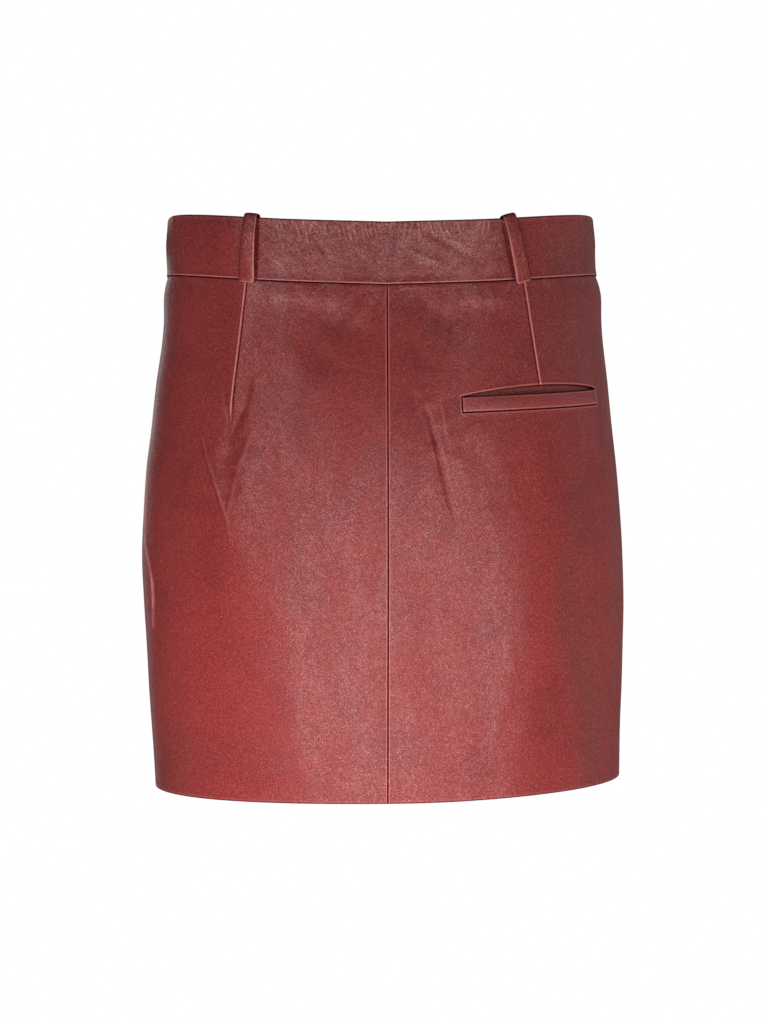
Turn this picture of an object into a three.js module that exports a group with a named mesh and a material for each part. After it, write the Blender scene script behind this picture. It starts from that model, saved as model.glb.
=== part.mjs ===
// A short leather skirt, filled out as if it were worn: two back panels with a centre seam and waist
// darts, one front panel, a straight waistband, four belt loops and a single-welt pocket.
// Millimetres. +X is the wearer's right, +Y is forward and +Z is up. The origin is the middle of the
// waist, at half the height of the band. Angles are in degrees round the skirt: 0 is the centre back,
// 90 is the wearer's right side and 180 is the centre front.
import * as THREE from "three";

// Leather and seams
const WALL = 1.6;
const SEAM_GAP = 0.3;
const SIDE_SEAM = 92;
const SEAM_DIP = 0.5;
const SEAM_RIDGE = 0.35;
const SEAM_RIDGE_AT = 3;

// Hem
const HEM_HEIGHT = -369.5;
const HEM_RIGHT_RISE = 5;
const HEM_LEFT_RISE = -2;
const HEM_TURN_UP = 34;
const HEM_FOLD_THICKNESS = 1.1;

// Waistband
const BAND_PROUD = 0.6;
const BAND_SWELL = 0.5;

// Belt loops
const LOOP_WIDTH = 10;
const LOOP_THICKNESS = 1.4;
const LOOP_STAND_OFF = 2.4;
const LOOP_RISE = 1.6;
const LOOP_TUCK = 9;
const LOOP_FOOT = 2.6;
const LOOP_CLEARANCE = 0.45;

// Back pocket, on the wearer's right
const POCKET_FROM = 23.2;
const POCKET_TO = 69.9;
const POCKET_COLUMNS = 15;
const WELT_TOP_FROM = -96.5;
const WELT_TOP_TO = -93;
const WELT_HEIGHT = 10;
const WELT_PROUD = 0.35;
const WELT_THICKNESS = 2;
const MOUTH_OPENING = 6.2;
const FACING_MARGIN = 12;
const FACING_THICKNESS = 1.2;
const FACING_DEPTH = 5.4;

// How fine the walls are
const BACK_STEP = 3.8;
const FRONT_STEP = 5.2;
const BAND_STEP = 5;
const BACK_ROWS_ABOVE_POCKET = 6;
const BACK_ROWS_BELOW_POCKET = 17;
const FRONT_ROWS = 17;

// Roundness of a level section: 2 would be an ellipse
const SQUARENESS = 2.15;

// Level sections of the outer face. Half widths to each side and half depths, from the middle of the waist.
const SECTIONS = [
  { height: -380, left: 158.6, right: 166.6, back: 121.6, front: 114.8 },
  { height: -330, left: 161.4, right: 167.6, back: 124.0, front: 115.6 },
  { height: -300, left: 163.4, right: 168.6, back: 125.6, front: 116.2 },
  { height: -270, left: 165.0, right: 169.2, back: 127.2, front: 116.8 },
  { height: -240, left: 166.8, right: 169.6, back: 128.6, front: 117.4 },
  { height: -210, left: 167.8, right: 168.8, back: 129.4, front: 117.6 },
  { height: -180, left: 166.6, right: 167.0, back: 129.0, front: 117.2 },
  { height: -150, left: 164.4, right: 164.6, back: 127.2, front: 116.2 },
  { height: -120, left: 160.6, right: 161.2, back: 124.0, front: 114.4 },
  { height: -90, left: 157.4, right: 158.0, back: 119.6, front: 112.0 },
  { height: -60, left: 153.0, right: 154.6, back: 114.4, front: 109.0 },
  { height: -30, left: 150.4, right: 152.2, back: 109.0, front: 105.4 },
  { height: -15, left: 149.0, right: 149.6, back: 106.5, front: 103.2 },
  { height: 0, left: 148.6, right: 147.4, back: 105.0, front: 101.0 },
  { height: 21, left: 148.4, right: 147.0, back: 103.6, front: 98.2 },
  { height: 30, left: 148.0, right: 146.5, back: 103.0, front: 97.0 },
];

// Heights of the band's top edge and of the waist seam, by the angle from the centre back
const BAND_EDGES = [
  { angle: 0, rim: 21.0, seam: -21.0 },
  { angle: 35, rim: 23.0, seam: -18.8 },
  { angle: 65, rim: 26.4, seam: -15.4 },
  { angle: 80, rim: 26.2, seam: -14.6 },
  { angle: 90, rim: 22.8, seam: -16.0 },
  { angle: 105, rim: 18.6, seam: -21.0 },
  { angle: 140, rim: 12.6, seam: -28.6 },
  { angle: 180, rim: 10.4, seam: -31.0 },
];

// Waist darts: where each starts at the waist seam and where its point lies
const DARTS = [
  { name: "back left", angle: -47.4, footAngle: -47.0, foot: -110 },
  { name: "back right", angle: 48.4, footAngle: 47.8, foot: -89 },
  { name: "front right", angle: 137, footAngle: 138.5, foot: -112 },
  { name: "front left", angle: 223, footAngle: 221.5, foot: -116 },
];
const DART_DIP = 0.55;
const DART_RIDGE_AT = 2.6;

// Soft folds of the leather between two points of the wall. Rise is outward, or inward where it is
// less than 0, and reach is the distance over which the fold dies away.
const FOLDS = [
  { angle: -55.0, top: -123, footAngle: -45.4, foot: -196, rise: 1.5, reach: 9 },
  { angle: -40.4, top: -112, footAngle: -45.6, foot: -182, rise: 1.4, reach: 9 },
  { angle: -47.2, top: -124, footAngle: -46.4, foot: -166, rise: -1.6, reach: 9 },
  { angle: 12.5, top: -104, footAngle: 17.8, foot: -166, rise: -1.5, reach: 9 },
  { angle: 17.6, top: -96, footAngle: 20.5, foot: -130, rise: 1.0, reach: 8 },
  { angle: -70.0, top: -150, footAngle: -62.0, foot: -206, rise: -1.0, reach: 12 },
  { angle: 61.0, top: -128, footAngle: 66.0, foot: -196, rise: -1.1, reach: 12 },
  { angle: 128.0, top: -128, footAngle: 132.5, foot: -194, rise: 1.2, reach: 11 },
  { angle: 146.0, top: -122, footAngle: 141.0, foot: -176, rise: 1.2, reach: 11 },
  { angle: 214.0, top: -126, footAngle: 219.5, foot: -186, rise: 1.2, reach: 11 },
  { angle: 231.0, top: -130, footAngle: 226.0, foot: -200, rise: 1.3, reach: 11 },
  { angle: 170.0, top: -150, footAngle: 176.0, foot: -236, rise: -0.9, reach: 14 },
];

const LEATHER = { color: "#7d3634", roughness: 0.42, metalness: 0 };
const LEATHER_SHADED = { color: "#5c2625", roughness: 0.5, metalness: 0 };

// Belt loops: the angle of each at the rim and at its foot
const BELT_LOOPS = [
  { name: "loop_back_left", rimAngle: -46.8, footAngle: -47.9 },
  { name: "loop_back_right", rimAngle: 43.1, footAngle: 47.2 },
  { name: "loop_front_right", rimAngle: 137.5, footAngle: 136.5 },
  { name: "loop_front_left", rimAngle: 222.5, footAngle: 223.5 },
];

// Reads a smooth curve through the rows of a table, from the column that rises to the one wanted
function readCurve(table, column, wanted, at) {
  const last = table.length - 1;
  const place = THREE.MathUtils.clamp(at, table[0][column], table[last][column]);
  let row = 0;
  while (row < last - 1 && place > table[row + 1][column]) {
    row += 1;
  }
  const slopeAt = (index) => {
    const before = table[Math.max(index - 1, 0)];
    const after = table[Math.min(index + 1, last)];
    return (after[wanted] - before[wanted]) / (after[column] - before[column]);
  };
  const [start, end] = [table[row], table[row + 1]];
  const span = end[column] - start[column];
  const t = (place - start[column]) / span;
  return (2 * t ** 3 - 3 * t ** 2 + 1) * start[wanted]
    + (t ** 3 - 2 * t ** 2 + t) * span * slopeAt(row)
    + (3 * t ** 2 - 2 * t ** 3) * end[wanted]
    + (t ** 3 - t ** 2) * span * slopeAt(row + 1);
}

// The plain outer form, before any fold
function formPoint(angle, height) {
  const turn = THREE.MathUtils.degToRad(angle);
  const aside = Math.sin(turn);
  const ahead = -Math.cos(turn);
  const halfWidth = readCurve(SECTIONS, "height", aside > 0 ? "right" : "left", height);
  const halfDepth = readCurve(SECTIONS, "height", ahead > 0 ? "front" : "back", height);
  const fullness = Math.abs(aside / halfWidth) ** SQUARENESS + Math.abs(ahead / halfDepth) ** SQUARENESS;
  const reach = fullness ** (-1 / SQUARENESS);
  return new THREE.Vector3(aside * reach, ahead * reach, height);
}

// The direction straight out of the form
function formNormal(angle, height) {
  const nudge = 0.1;
  const round = formPoint(angle + nudge, height).sub(formPoint(angle - nudge, height));
  const upward = formPoint(angle, height + nudge).sub(formPoint(angle, height - nudge));
  return round.cross(upward).normalize();
}

// Millimetres round the skirt for each degree there
function arcPerDegree(angle, height) {
  return formPoint(angle + 0.5, height).distanceTo(formPoint(angle - 0.5, height));
}

// A point at a distance out of the form, or inside it where the distance is less than 0
function pointOff(angle, height, out) {
  return formPoint(angle, height).addScaledVector(formNormal(angle, height), out);
}

// The angle from the centre back, either way round
function angleFromBack(angle) {
  return Math.abs(THREE.MathUtils.euclideanModulo(angle + 180, 360) - 180);
}

function rimHeight(angle) {
  return readCurve(BAND_EDGES, "angle", "rim", angleFromBack(angle));
}

function seamHeight(angle) {
  return readCurve(BAND_EDGES, "angle", "seam", angleFromBack(angle));
}

function hemHeight(angle) {
  const aside = Math.sin(THREE.MathUtils.degToRad(angle));
  const rise = aside > 0 ? HEM_RIGHT_RISE : HEM_LEFT_RISE;
  return HEM_HEIGHT + rise * aside ** 2;
}

// How far along a line between two points of the wall a place is, and how far off it, in millimetres
function besideLine(line, angle, height) {
  const scale = arcPerDegree(line.angle, line.foot);
  const across = (line.footAngle - line.angle) * scale;
  const down = line.foot - line.top;
  const toAcross = (angle - line.angle) * scale;
  const toDown = height - line.top;
  const along = (toAcross * across + toDown * down) / (across ** 2 + down ** 2);
  const nearest = THREE.MathUtils.clamp(along, 0, 1);
  return { along, apart: Math.hypot(toAcross - nearest * across, toDown - nearest * down) };
}

// The rise of all the folds at one place, each dying away to its sides and at its ends
function foldRise(angle, height) {
  let rise = 0;
  for (const fold of FOLDS) {
    const { along, apart } = besideLine(fold, angle, height);
    const middle = THREE.MathUtils.clamp(along, 0, 1);
    const swell = 0.35 + 0.65 * Math.sin(Math.PI * middle);
    rise += fold.rise * swell * Math.exp(-((apart / fold.reach) ** 2));
  }
  return rise;
}

// The dip along a seam or dart, with a low ridge beside it
function stitchedDip(apart, dip, ridgeAt) {
  const groove = -dip * Math.exp(-((apart / (ridgeAt * 0.45)) ** 2));
  const ridge = SEAM_RIDGE * Math.exp(-(((apart - ridgeAt) / (ridgeAt * 0.6)) ** 2));
  return groove + ridge;
}

// The relief of the outer face: folds, the seams at the panel's sides, and the darts
function outerRelief(angle, height, seamAngles) {
  const scale = arcPerDegree(angle, height);
  let rise = foldRise(angle, height);
  for (const seamAngle of seamAngles) {
    rise += stitchedDip(Math.abs(angle - seamAngle) * scale, SEAM_DIP, SEAM_RIDGE_AT);
  }
  for (const dart of DARTS) {
    const line = { angle: dart.angle, top: seamHeight(dart.angle), footAngle: dart.footAngle, foot: dart.foot };
    const { along, apart } = besideLine(line, angle, height);
    const fade = 1 - THREE.MathUtils.smoothstep(along, 0.55, 1);
    rise += fade * stitchedDip(apart, DART_DIP, DART_RIDGE_AT);
  }
  return rise;
}

// Angles from one seam to the next, close beside each mark, so that a dip there has its own columns
function columnAngles(from, to, step, marks) {
  const angles = [];
  const beside = 1.2;
  for (const mark of marks) {
    for (const shift of [-beside, 0, beside]) {
      const angle = mark + shift;
      if (angle >= from && angle <= to) angles.push(angle);
    }
  }
  const count = Math.round((to - from) / step);
  for (let index = 0; index <= count; index += 1) {
    const angle = from + ((to - from) * index) / count;
    if (angles.every((other) => Math.abs(other - angle) > step * 0.45)) angles.push(angle);
  }
  return angles.sort((a, b) => a - b);
}

// Moves the first and last column in by half a seam's gap
function withSeamGap(angles, height) {
  const last = angles.length - 1;
  return angles.map((angle, index) => {
    const half = SEAM_GAP / 2 / arcPerDegree(angle, height);
    if (index === 0) return angle + half;
    return index === last ? angle - half : angle;
  });
}

function meshOf(name, positions, indices, look) {
  const geometry = new THREE.BufferGeometry();
  geometry.setAttribute("position", new THREE.Float32BufferAttribute(positions, 3));
  geometry.setIndex(indices);
  geometry.computeVertexNormals();
  const mesh = new THREE.Mesh(geometry, new THREE.MeshStandardMaterial(look));
  mesh.name = name;
  return mesh;
}

// A closed wall over a grid of columns and rows, which run round and down the skirt. place(column, row,
// inside) gives each point, and a cell for which isOpen(column, row) holds is cut through.
function gridWall(name, columns, rows, place, look, isOpen = () => false) {
  const positions = [];
  const indices = [];
  const used = new Map();
  const vertex = (column, row, inside) => {
    const key = (inside * rows + row) * columns + column;
    if (!used.has(key)) {
      used.set(key, positions.length / 3);
      positions.push(...place(column, row, inside).toArray());
    }
    return used.get(key);
  };
  const isFilled = (column, row) => column >= 0 && row >= 0 && column < columns - 1 && row < rows - 1
    && !isOpen(column, row);
  const quad = (a, b, c, d) => indices.push(a, b, c, a, c, d);
  for (let row = 0; row < rows - 1; row += 1) {
    for (let column = 0; column < columns - 1; column += 1) {
      if (!isFilled(column, row)) continue;
      const corners = [[column, row], [column, row + 1], [column + 1, row + 1], [column + 1, row]];
      const beyond = [[column - 1, row], [column, row + 1], [column + 1, row], [column, row - 1]];
      const outer = corners.map(([c, r]) => vertex(c, r, 0));
      const inner = corners.map(([c, r]) => vertex(c, r, 1));
      quad(outer[0], outer[1], outer[2], outer[3]);
      quad(inner[3], inner[2], inner[1], inner[0]);
      for (let side = 0; side < 4; side += 1) {
        const next = (side + 1) % 4;
        if (!isFilled(...beyond[side])) quad(outer[next], outer[side], inner[side], inner[next]);
      }
    }
  }
  return meshOf(name, positions, indices, look);
}

// A closed solid through rings of points, capped at both ends. Each ring is a closed outline that runs
// clockwise seen along the way from ring to ring, and flat is that outline laid flat, for its caps.
function ringSolid(name, rings, flat, look) {
  const count = flat.length;
  const positions = rings.flat().flatMap((point) => point.toArray());
  const indices = [];
  for (let ring = 0; ring < rings.length - 1; ring += 1) {
    for (let index = 0; index < count; index += 1) {
      const a = ring * count + index;
      const b = ring * count + ((index + 1) % count);
      indices.push(a, b, b + count, a, b + count, a + count);
    }
  }
  const lastRing = (rings.length - 1) * count;
  for (const [a, b, c] of THREE.ShapeUtils.triangulateShape(flat, [])) {
    indices.push(a, c, b);
    indices.push(lastRing + a, lastRing + b, lastRing + c);
  }
  return meshOf(name, positions, indices, look);
}

// Heights from top to bottom in even steps, without the last
function evenSteps(top, bottom, count) {
  return Array.from({ length: count }, (_, index) => top + ((bottom - top) * index) / count);
}

// The pocket's lines: the welt's top edge, the lip of the mouth above it, and the welt's lower edge
function alongPocket(angle) {
  return THREE.MathUtils.clamp((angle - POCKET_FROM) / (POCKET_TO - POCKET_FROM), 0, 1);
}

function weltTop(angle) {
  return THREE.MathUtils.lerp(WELT_TOP_FROM, WELT_TOP_TO, alongPocket(angle));
}

function mouthHeight(angle) {
  const t = alongPocket(angle);
  return SEAM_GAP + MOUTH_OPENING * Math.sin(Math.PI * t ** 1.15) ** 0.7;
}

// The heights of a back panel's points in one column. The sixth and seventh are the lip and the foot of
// the pocket's cut, and the other panel has the same rows uncut.
function backHeights(angle) {
  const lip = weltTop(angle) + mouthHeight(angle);
  const foot = weltTop(angle) - WELT_HEIGHT - SEAM_GAP;
  const hem = hemHeight(angle);
  const top = seamHeight(angle) - SEAM_GAP / 2;
  return [
    ...evenSteps(top, lip, BACK_ROWS_ABOVE_POCKET),
    lip,
    ...evenSteps(foot, hem + HEM_TURN_UP + 2, BACK_ROWS_BELOW_POCKET),
    ...hemRows(hem),
  ];
}

function frontHeights(angle) {
  const hem = hemHeight(angle);
  const top = seamHeight(angle) - SEAM_GAP / 2;
  return [...evenSteps(top, hem + HEM_TURN_UP + 2, FRONT_ROWS), ...hemRows(hem)];
}

// Rows just over and under the edge of the turned-up hem, one half way down it, and the hem itself
function hemRows(hem) {
  return [hem + HEM_TURN_UP + 0.5, hem + HEM_TURN_UP - 0.5, hem + HEM_TURN_UP / 2, hem + 2, hem];
}

// How deep the wall is at a height: the hem is turned up and glued down inside
function wallDepth(angle, height) {
  const overHem = height - hemHeight(angle);
  return overHem < HEM_TURN_UP ? WALL + HEM_FOLD_THICKNESS : WALL;
}

function panel(name, angles, heightsAt, seamAngles, isOpen) {
  const heights = angles.map((angle) => heightsAt(angle));
  const rows = heights[0].length;
  const place = (column, row, inside) => {
    const angle = angles[column];
    const height = heights[column][row];
    if (inside) return pointOff(angle, height, foldRise(angle, height) - wallDepth(angle, height));
    return pointOff(angle, height, outerRelief(angle, height, seamAngles));
  };
  return gridWall(name, angles.length, rows, place, LEATHER, isOpen);
}

function backLeftPanel() {
  const marks = [-SIDE_SEAM, DARTS[0].angle, 0];
  const angles = withSeamGap(columnAngles(-SIDE_SEAM, 0, BACK_STEP, marks), HEM_HEIGHT);
  return panel("panel_back_left", angles, backHeights, [-SIDE_SEAM, 0]);
}

// Columns of the pocket's mouth, shared by the panel and the welt
function pocketAngles() {
  return evenSteps(POCKET_FROM, POCKET_TO, POCKET_COLUMNS - 1).concat(POCKET_TO);
}

function backRightPanel() {
  const beside = columnAngles(0, POCKET_FROM, BACK_STEP, [0]).slice(0, -1);
  const beyond = columnAngles(POCKET_TO, SIDE_SEAM, BACK_STEP, [SIDE_SEAM]).slice(1);
  const angles = withSeamGap([...beside, ...pocketAngles(), ...beyond], HEM_HEIGHT);
  const first = beside.length;
  const isOpen = (column, row) => row === BACK_ROWS_ABOVE_POCKET
    && column >= first && column < first + POCKET_COLUMNS - 1;
  return panel("panel_back_right", angles, backHeights, [0, SIDE_SEAM], isOpen);
}

function frontPanel() {
  const marks = [SIDE_SEAM, DARTS[2].angle, DARTS[3].angle, 360 - SIDE_SEAM];
  const angles = withSeamGap(columnAngles(SIDE_SEAM, 360 - SIDE_SEAM, FRONT_STEP, marks), HEM_HEIGHT);
  return panel("panel_front", angles, frontHeights, [SIDE_SEAM, 360 - SIDE_SEAM]);
}

// The band's section, out of the form and up it: a folded strip, swollen a little, with a round top edge
const BAND_PROFILE = [
  { out: BAND_PROUD, up: 0 },
  { out: BAND_PROUD + BAND_SWELL * 0.7, up: 0.05 },
  { out: BAND_PROUD + BAND_SWELL * 0.2, up: 0.16 },
  { out: BAND_PROUD + BAND_SWELL, up: 0.55 },
  { out: BAND_PROUD + BAND_SWELL * 0.8, up: 0.95 },
  { out: BAND_PROUD, up: 0.985 },
  { out: (BAND_PROUD - WALL) / 2, up: 1 },
  { out: -WALL, up: 0.985 },
  { out: -WALL, up: 0.95 },
  { out: -WALL, up: 0.5 },
  { out: -WALL, up: 0 },
];

function waistband(name, from, to) {
  const angles = withSeamGap(columnAngles(from, to, BAND_STEP, []), 0);
  const rings = angles.map((angle) => {
    const foot = seamHeight(angle) + SEAM_GAP / 2;
    const rim = rimHeight(angle);
    return BAND_PROFILE.map(({ out, up }) => pointOff(angle, THREE.MathUtils.lerp(foot, rim, up), out));
  });
  rings.reverse();
  const flat = BAND_PROFILE.map(({ out, up }) => new THREE.Vector2(out, up * 40));
  return ringSolid(name, rings, flat, LEATHER);
}

// The middle line of a belt loop: from inside the band, over its rim, and down to below the waist seam
function loopLine(rim, seam) {
  const half = LOOP_THICKNESS / 2;
  const insideBand = -WALL - LOOP_CLEARANCE - half;
  const outsideBand = BAND_PROUD + BAND_SWELL + SEAM_GAP + half;
  const overRim = rim + LOOP_RISE + half;
  const middle = (rim + seam) / 2;
  return [
    { out: insideBand, height: rim - LOOP_TUCK },
    { out: insideBand, height: rim - 0.6 },
    { out: insideBand + 0.8, height: overRim - 0.15 },
    { out: (insideBand + outsideBand) / 2, height: overRim + 0.15 },
    { out: outsideBand - 0.6, height: overRim - 0.15 },
    { out: outsideBand + 0.3, height: rim - 0.9 },
    { out: outsideBand + LOOP_STAND_OFF * 0.55, height: rim - 6 },
    { out: outsideBand + LOOP_STAND_OFF * 0.95, height: middle + 8 },
    { out: outsideBand + LOOP_STAND_OFF, height: middle - 4 },
    { out: outsideBand + LOOP_STAND_OFF * 0.7, height: seam + 8 },
    { out: outsideBand + LOOP_STAND_OFF * 0.3, height: seam + 2.5 },
    { out: outsideBand, height: seam - LOOP_FOOT },
  ];
}

function beltLoop({ name, rimAngle, footAngle }) {
  const halfAngle = LOOP_WIDTH / 2 / arcPerDegree(rimAngle, 0);
  const rim = Math.max(rimHeight(rimAngle - halfAngle), rimHeight(rimAngle + halfAngle));
  const seam = seamHeight(footAngle);
  const straightDown = pointOff(footAngle, seam, 0).sub(pointOff(rimAngle, rim, 0)).normalize();
  const line = loopLine(rim, seam).map(({ out, height }) => {
    const angle = THREE.MathUtils.mapLinear(height, rim, seam, rimAngle, footAngle);
    const across = formNormal(angle, height).cross(straightDown).normalize();
    return { point: pointOff(angle, height, out), across };
  });
  const corners = [
    new THREE.Vector2(-LOOP_WIDTH / 2, -LOOP_THICKNESS / 2),
    new THREE.Vector2(LOOP_WIDTH / 2, -LOOP_THICKNESS / 2),
    new THREE.Vector2(LOOP_WIDTH / 2, LOOP_THICKNESS / 2),
    new THREE.Vector2(-LOOP_WIDTH / 2, LOOP_THICKNESS / 2),
  ];
  const rings = line.map(({ point, across }, index) => {
    const before = line[Math.max(index - 1, 0)].point;
    const after = line[Math.min(index + 1, line.length - 1)].point;
    const faceOut = after.clone().sub(before).cross(across).normalize();
    return corners.map((corner) => point.clone()
      .addScaledVector(across, corner.x)
      .addScaledVector(faceOut, corner.y));
  });
  return ringSolid(name, rings, corners, LEATHER);
}

// The folded strip that closes the lower part of the pocket's cut
function pocketWelt() {
  const angles = pocketAngles();
  const half = SEAM_GAP / arcPerDegree(POCKET_FROM, WELT_TOP_FROM);
  angles[0] += half;
  angles[angles.length - 1] -= half;
  const fractions = [0, 0.12, 0.5, 0.88, 1];
  const place = (column, row, inside) => {
    const angle = angles[column];
    const fraction = fractions[row];
    const height = weltTop(angle) - WELT_HEIGHT * fraction;
    const swell = 0.3 * Math.sin(Math.PI * fraction);
    const out = inside ? WELT_PROUD - WELT_THICKNESS : WELT_PROUD + swell;
    return pointOff(angle, height, foldRise(angle, height) + out);
  };
  return gridWall("pocket_welt", angles.length, fractions.length, place, LEATHER);
}

// The facing behind the mouth: its edges lie against the panel and its middle stands back from it
function pocketFacing() {
  const angles = evenSteps(POCKET_FROM - 2.5, POCKET_TO + 2.5, POCKET_COLUMNS + 1).concat(POCKET_TO + 2.5);
  const fractions = [0, 0.16, 0.34, 0.5, 0.66, 0.84, 1];
  const place = (column, row, inside) => {
    const angle = angles[column];
    const fraction = fractions[row];
    const top = weltTop(angle) + MOUTH_OPENING + FACING_MARGIN;
    const foot = weltTop(angle) - WELT_HEIGHT - FACING_MARGIN;
    const height = THREE.MathUtils.lerp(top, foot, fraction);
    const round = Math.sin(Math.PI * column / (angles.length - 1)) ** 0.5;
    const deep = FACING_DEPTH * round * Math.sin(Math.PI * fraction) ** 0.8;
    const out = -WALL - LOOP_CLEARANCE - deep - (inside ? FACING_THICKNESS : 0);
    return pointOff(angle, height, foldRise(angle, height) + out);
  };
  return gridWall("pocket_facing", angles.length, fractions.length, place, LEATHER_SHADED);
}

const skirt = new THREE.Group();
skirt.add(backLeftPanel(), backRightPanel(), frontPanel());
skirt.add(waistband("waistband_back", -SIDE_SEAM, SIDE_SEAM));
skirt.add(waistband("waistband_front", SIDE_SEAM, 360 - SIDE_SEAM));
skirt.add(...BELT_LOOPS.map((loop) => beltLoop(loop)));
skirt.add(pocketWelt(), pocketFacing());

export default skirt;
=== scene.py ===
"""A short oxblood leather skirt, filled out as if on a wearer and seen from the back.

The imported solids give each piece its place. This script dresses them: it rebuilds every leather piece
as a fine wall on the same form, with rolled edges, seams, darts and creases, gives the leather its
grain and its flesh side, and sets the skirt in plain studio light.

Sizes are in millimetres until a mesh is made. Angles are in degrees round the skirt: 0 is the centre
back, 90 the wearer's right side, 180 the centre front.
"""

import logging
import math
from dataclasses import dataclass
from enum import Enum
from typing import Iterable, Sequence

import bmesh
import bpy
import numpy as np
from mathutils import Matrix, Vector


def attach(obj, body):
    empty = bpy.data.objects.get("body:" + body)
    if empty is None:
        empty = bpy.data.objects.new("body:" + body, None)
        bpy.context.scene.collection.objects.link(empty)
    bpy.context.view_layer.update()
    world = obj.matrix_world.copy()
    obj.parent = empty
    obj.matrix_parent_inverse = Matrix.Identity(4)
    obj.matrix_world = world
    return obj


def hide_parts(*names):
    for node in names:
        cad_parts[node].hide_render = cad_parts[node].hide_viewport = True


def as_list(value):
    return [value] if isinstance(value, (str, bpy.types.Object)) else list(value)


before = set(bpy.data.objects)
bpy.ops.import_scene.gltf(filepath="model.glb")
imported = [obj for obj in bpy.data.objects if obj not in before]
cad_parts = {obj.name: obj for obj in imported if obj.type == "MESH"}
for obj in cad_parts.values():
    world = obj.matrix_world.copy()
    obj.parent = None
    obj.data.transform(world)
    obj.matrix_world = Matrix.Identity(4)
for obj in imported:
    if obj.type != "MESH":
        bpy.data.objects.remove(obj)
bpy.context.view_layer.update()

log = logging.getLogger("skirt")

MILLIMETRE = 0.001
METRE = 1000.0

# Leather and seams, as in the solids
WALL = 1.6
SEAM_GAP = 0.3
SIDE_SEAM = 92.0
HEM_HEIGHT = -369.5
HEM_RIGHT_RISE = 5.0
HEM_LEFT_RISE = -2.0
HEM_TURN_UP = 34.0
ALLOWANCE = 10.0
FOLDED_UNDER = 1.0
SQUARENESS = 2.15
BAND_HEIGHT = 42.0

# Pocket, as in the solids
POCKET_FROM = 23.2
POCKET_TO = 69.9
WELT_TOP_FROM = -96.5
WELT_TOP_TO = -93.0
WELT_HEIGHT = 10.0
MOUTH_OPENING = 5.3

# Millimetres round the skirt for one degree, at the hip
ARC_AT_HIP = 2.6

# How far a crease shows, as a multiple of its reach, and the number of points on its bent line
CREASE_SHOWS = 3.2
CREASE_POINTS = 15

# The step in which a length is measured before its places are spaced
COUNTING_STEP = 0.05

Array = np.ndarray


class Side(Enum):
    """Which face of a leather wall something belongs to."""

    GRAIN = 0
    FLESH = 1


@dataclass(frozen=True)
class Section:
    """A level section of the outer form: half widths and half depths at one height."""

    height: float
    left: float
    right: float
    back: float
    front: float


@dataclass(frozen=True)
class BandEdge:
    """Heights of the band's top edge and of the waist seam at an angle from the centre back."""

    angle: float
    rim: float
    seam: float


@dataclass(frozen=True)
class Crease:
    """A trough or ridge along points (angle, height). Its rise is less than 0 where it goes in."""

    points: tuple[tuple[float, float], ...]
    rise: float
    reach: float
    ends: float = 0.35
    # A paler line along the crease, partly wear and partly painted highlight
    wear_and_highlight: float = 0.0
    # Painted shade down in the crease
    dark: float = 0.0

    def strength(self, angle: Array, height: Array) -> Array:
        """Gives 1 in the middle of the crease, dying away to its sides and towards its ends."""
        place = np.asarray(angle) * ARC_AT_HIP
        across, down = self._line()
        margin = CREASE_SHOWS * self.reach
        near = (place > across.min() - margin) & (place < across.max() + margin)
        near = near & (height > down.min() - margin) & (height < down.max() + margin)
        result = np.zeros(np.shape(near))
        if near.any():
            result[near] = self._strength_near(place[near], height[near], across, down)
        return result

    def _line(self) -> tuple[Array, Array]:
        """The crease's line: millimetres across and up, in short steps where it bends."""
        across = np.array([point[0] for point in self.points]) * ARC_AT_HIP
        down = np.array([point[1] for point in self.points])
        if len(across) == 2:
            return across, down
        travel = summed(np.hypot(np.diff(across), np.diff(down)))
        fine = np.linspace(0.0, travel[-1], CREASE_POINTS)
        return Curve(travel, across).at(fine), Curve(travel, down).at(fine)

    def _strength_near(self, place: Array, height: Array, across: Array, down: Array) -> Array:
        """The strength at places that are near the crease's line."""
        lengths = np.hypot(np.diff(across), np.diff(down))
        starts = summed(lengths)
        nearest = np.full(place.shape, np.inf)
        along = np.zeros(place.shape)
        for index, length in enumerate(lengths):
            step_across = (across[index + 1] - across[index]) / length
            step_down = (down[index + 1] - down[index]) / length
            to_across = place - across[index]
            to_down = height - down[index]
            reached = np.clip(to_across * step_across + to_down * step_down, 0.0, length)
            apart = np.hypot(to_across - reached * step_across, to_down - reached * step_down)
            closer = apart < nearest
            nearest = np.where(closer, apart, nearest)
            along = np.where(closer, (starts[index] + reached) / starts[-1], along)
        swell = self.ends + (1 - self.ends) * np.sin(np.pi * along)
        swell = swell * (1 + 0.30 * np.sin(19 * along + self.points[0][0]) * np.sin(7 * along + self.reach))
        return swell * np.exp(-((nearest / self.reach) ** 2))

    def lift(self, angle: Array, height: Array) -> Array:
        """Gives the crease's rise at each place."""
        return self.rise * self.strength(angle, height)


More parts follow.
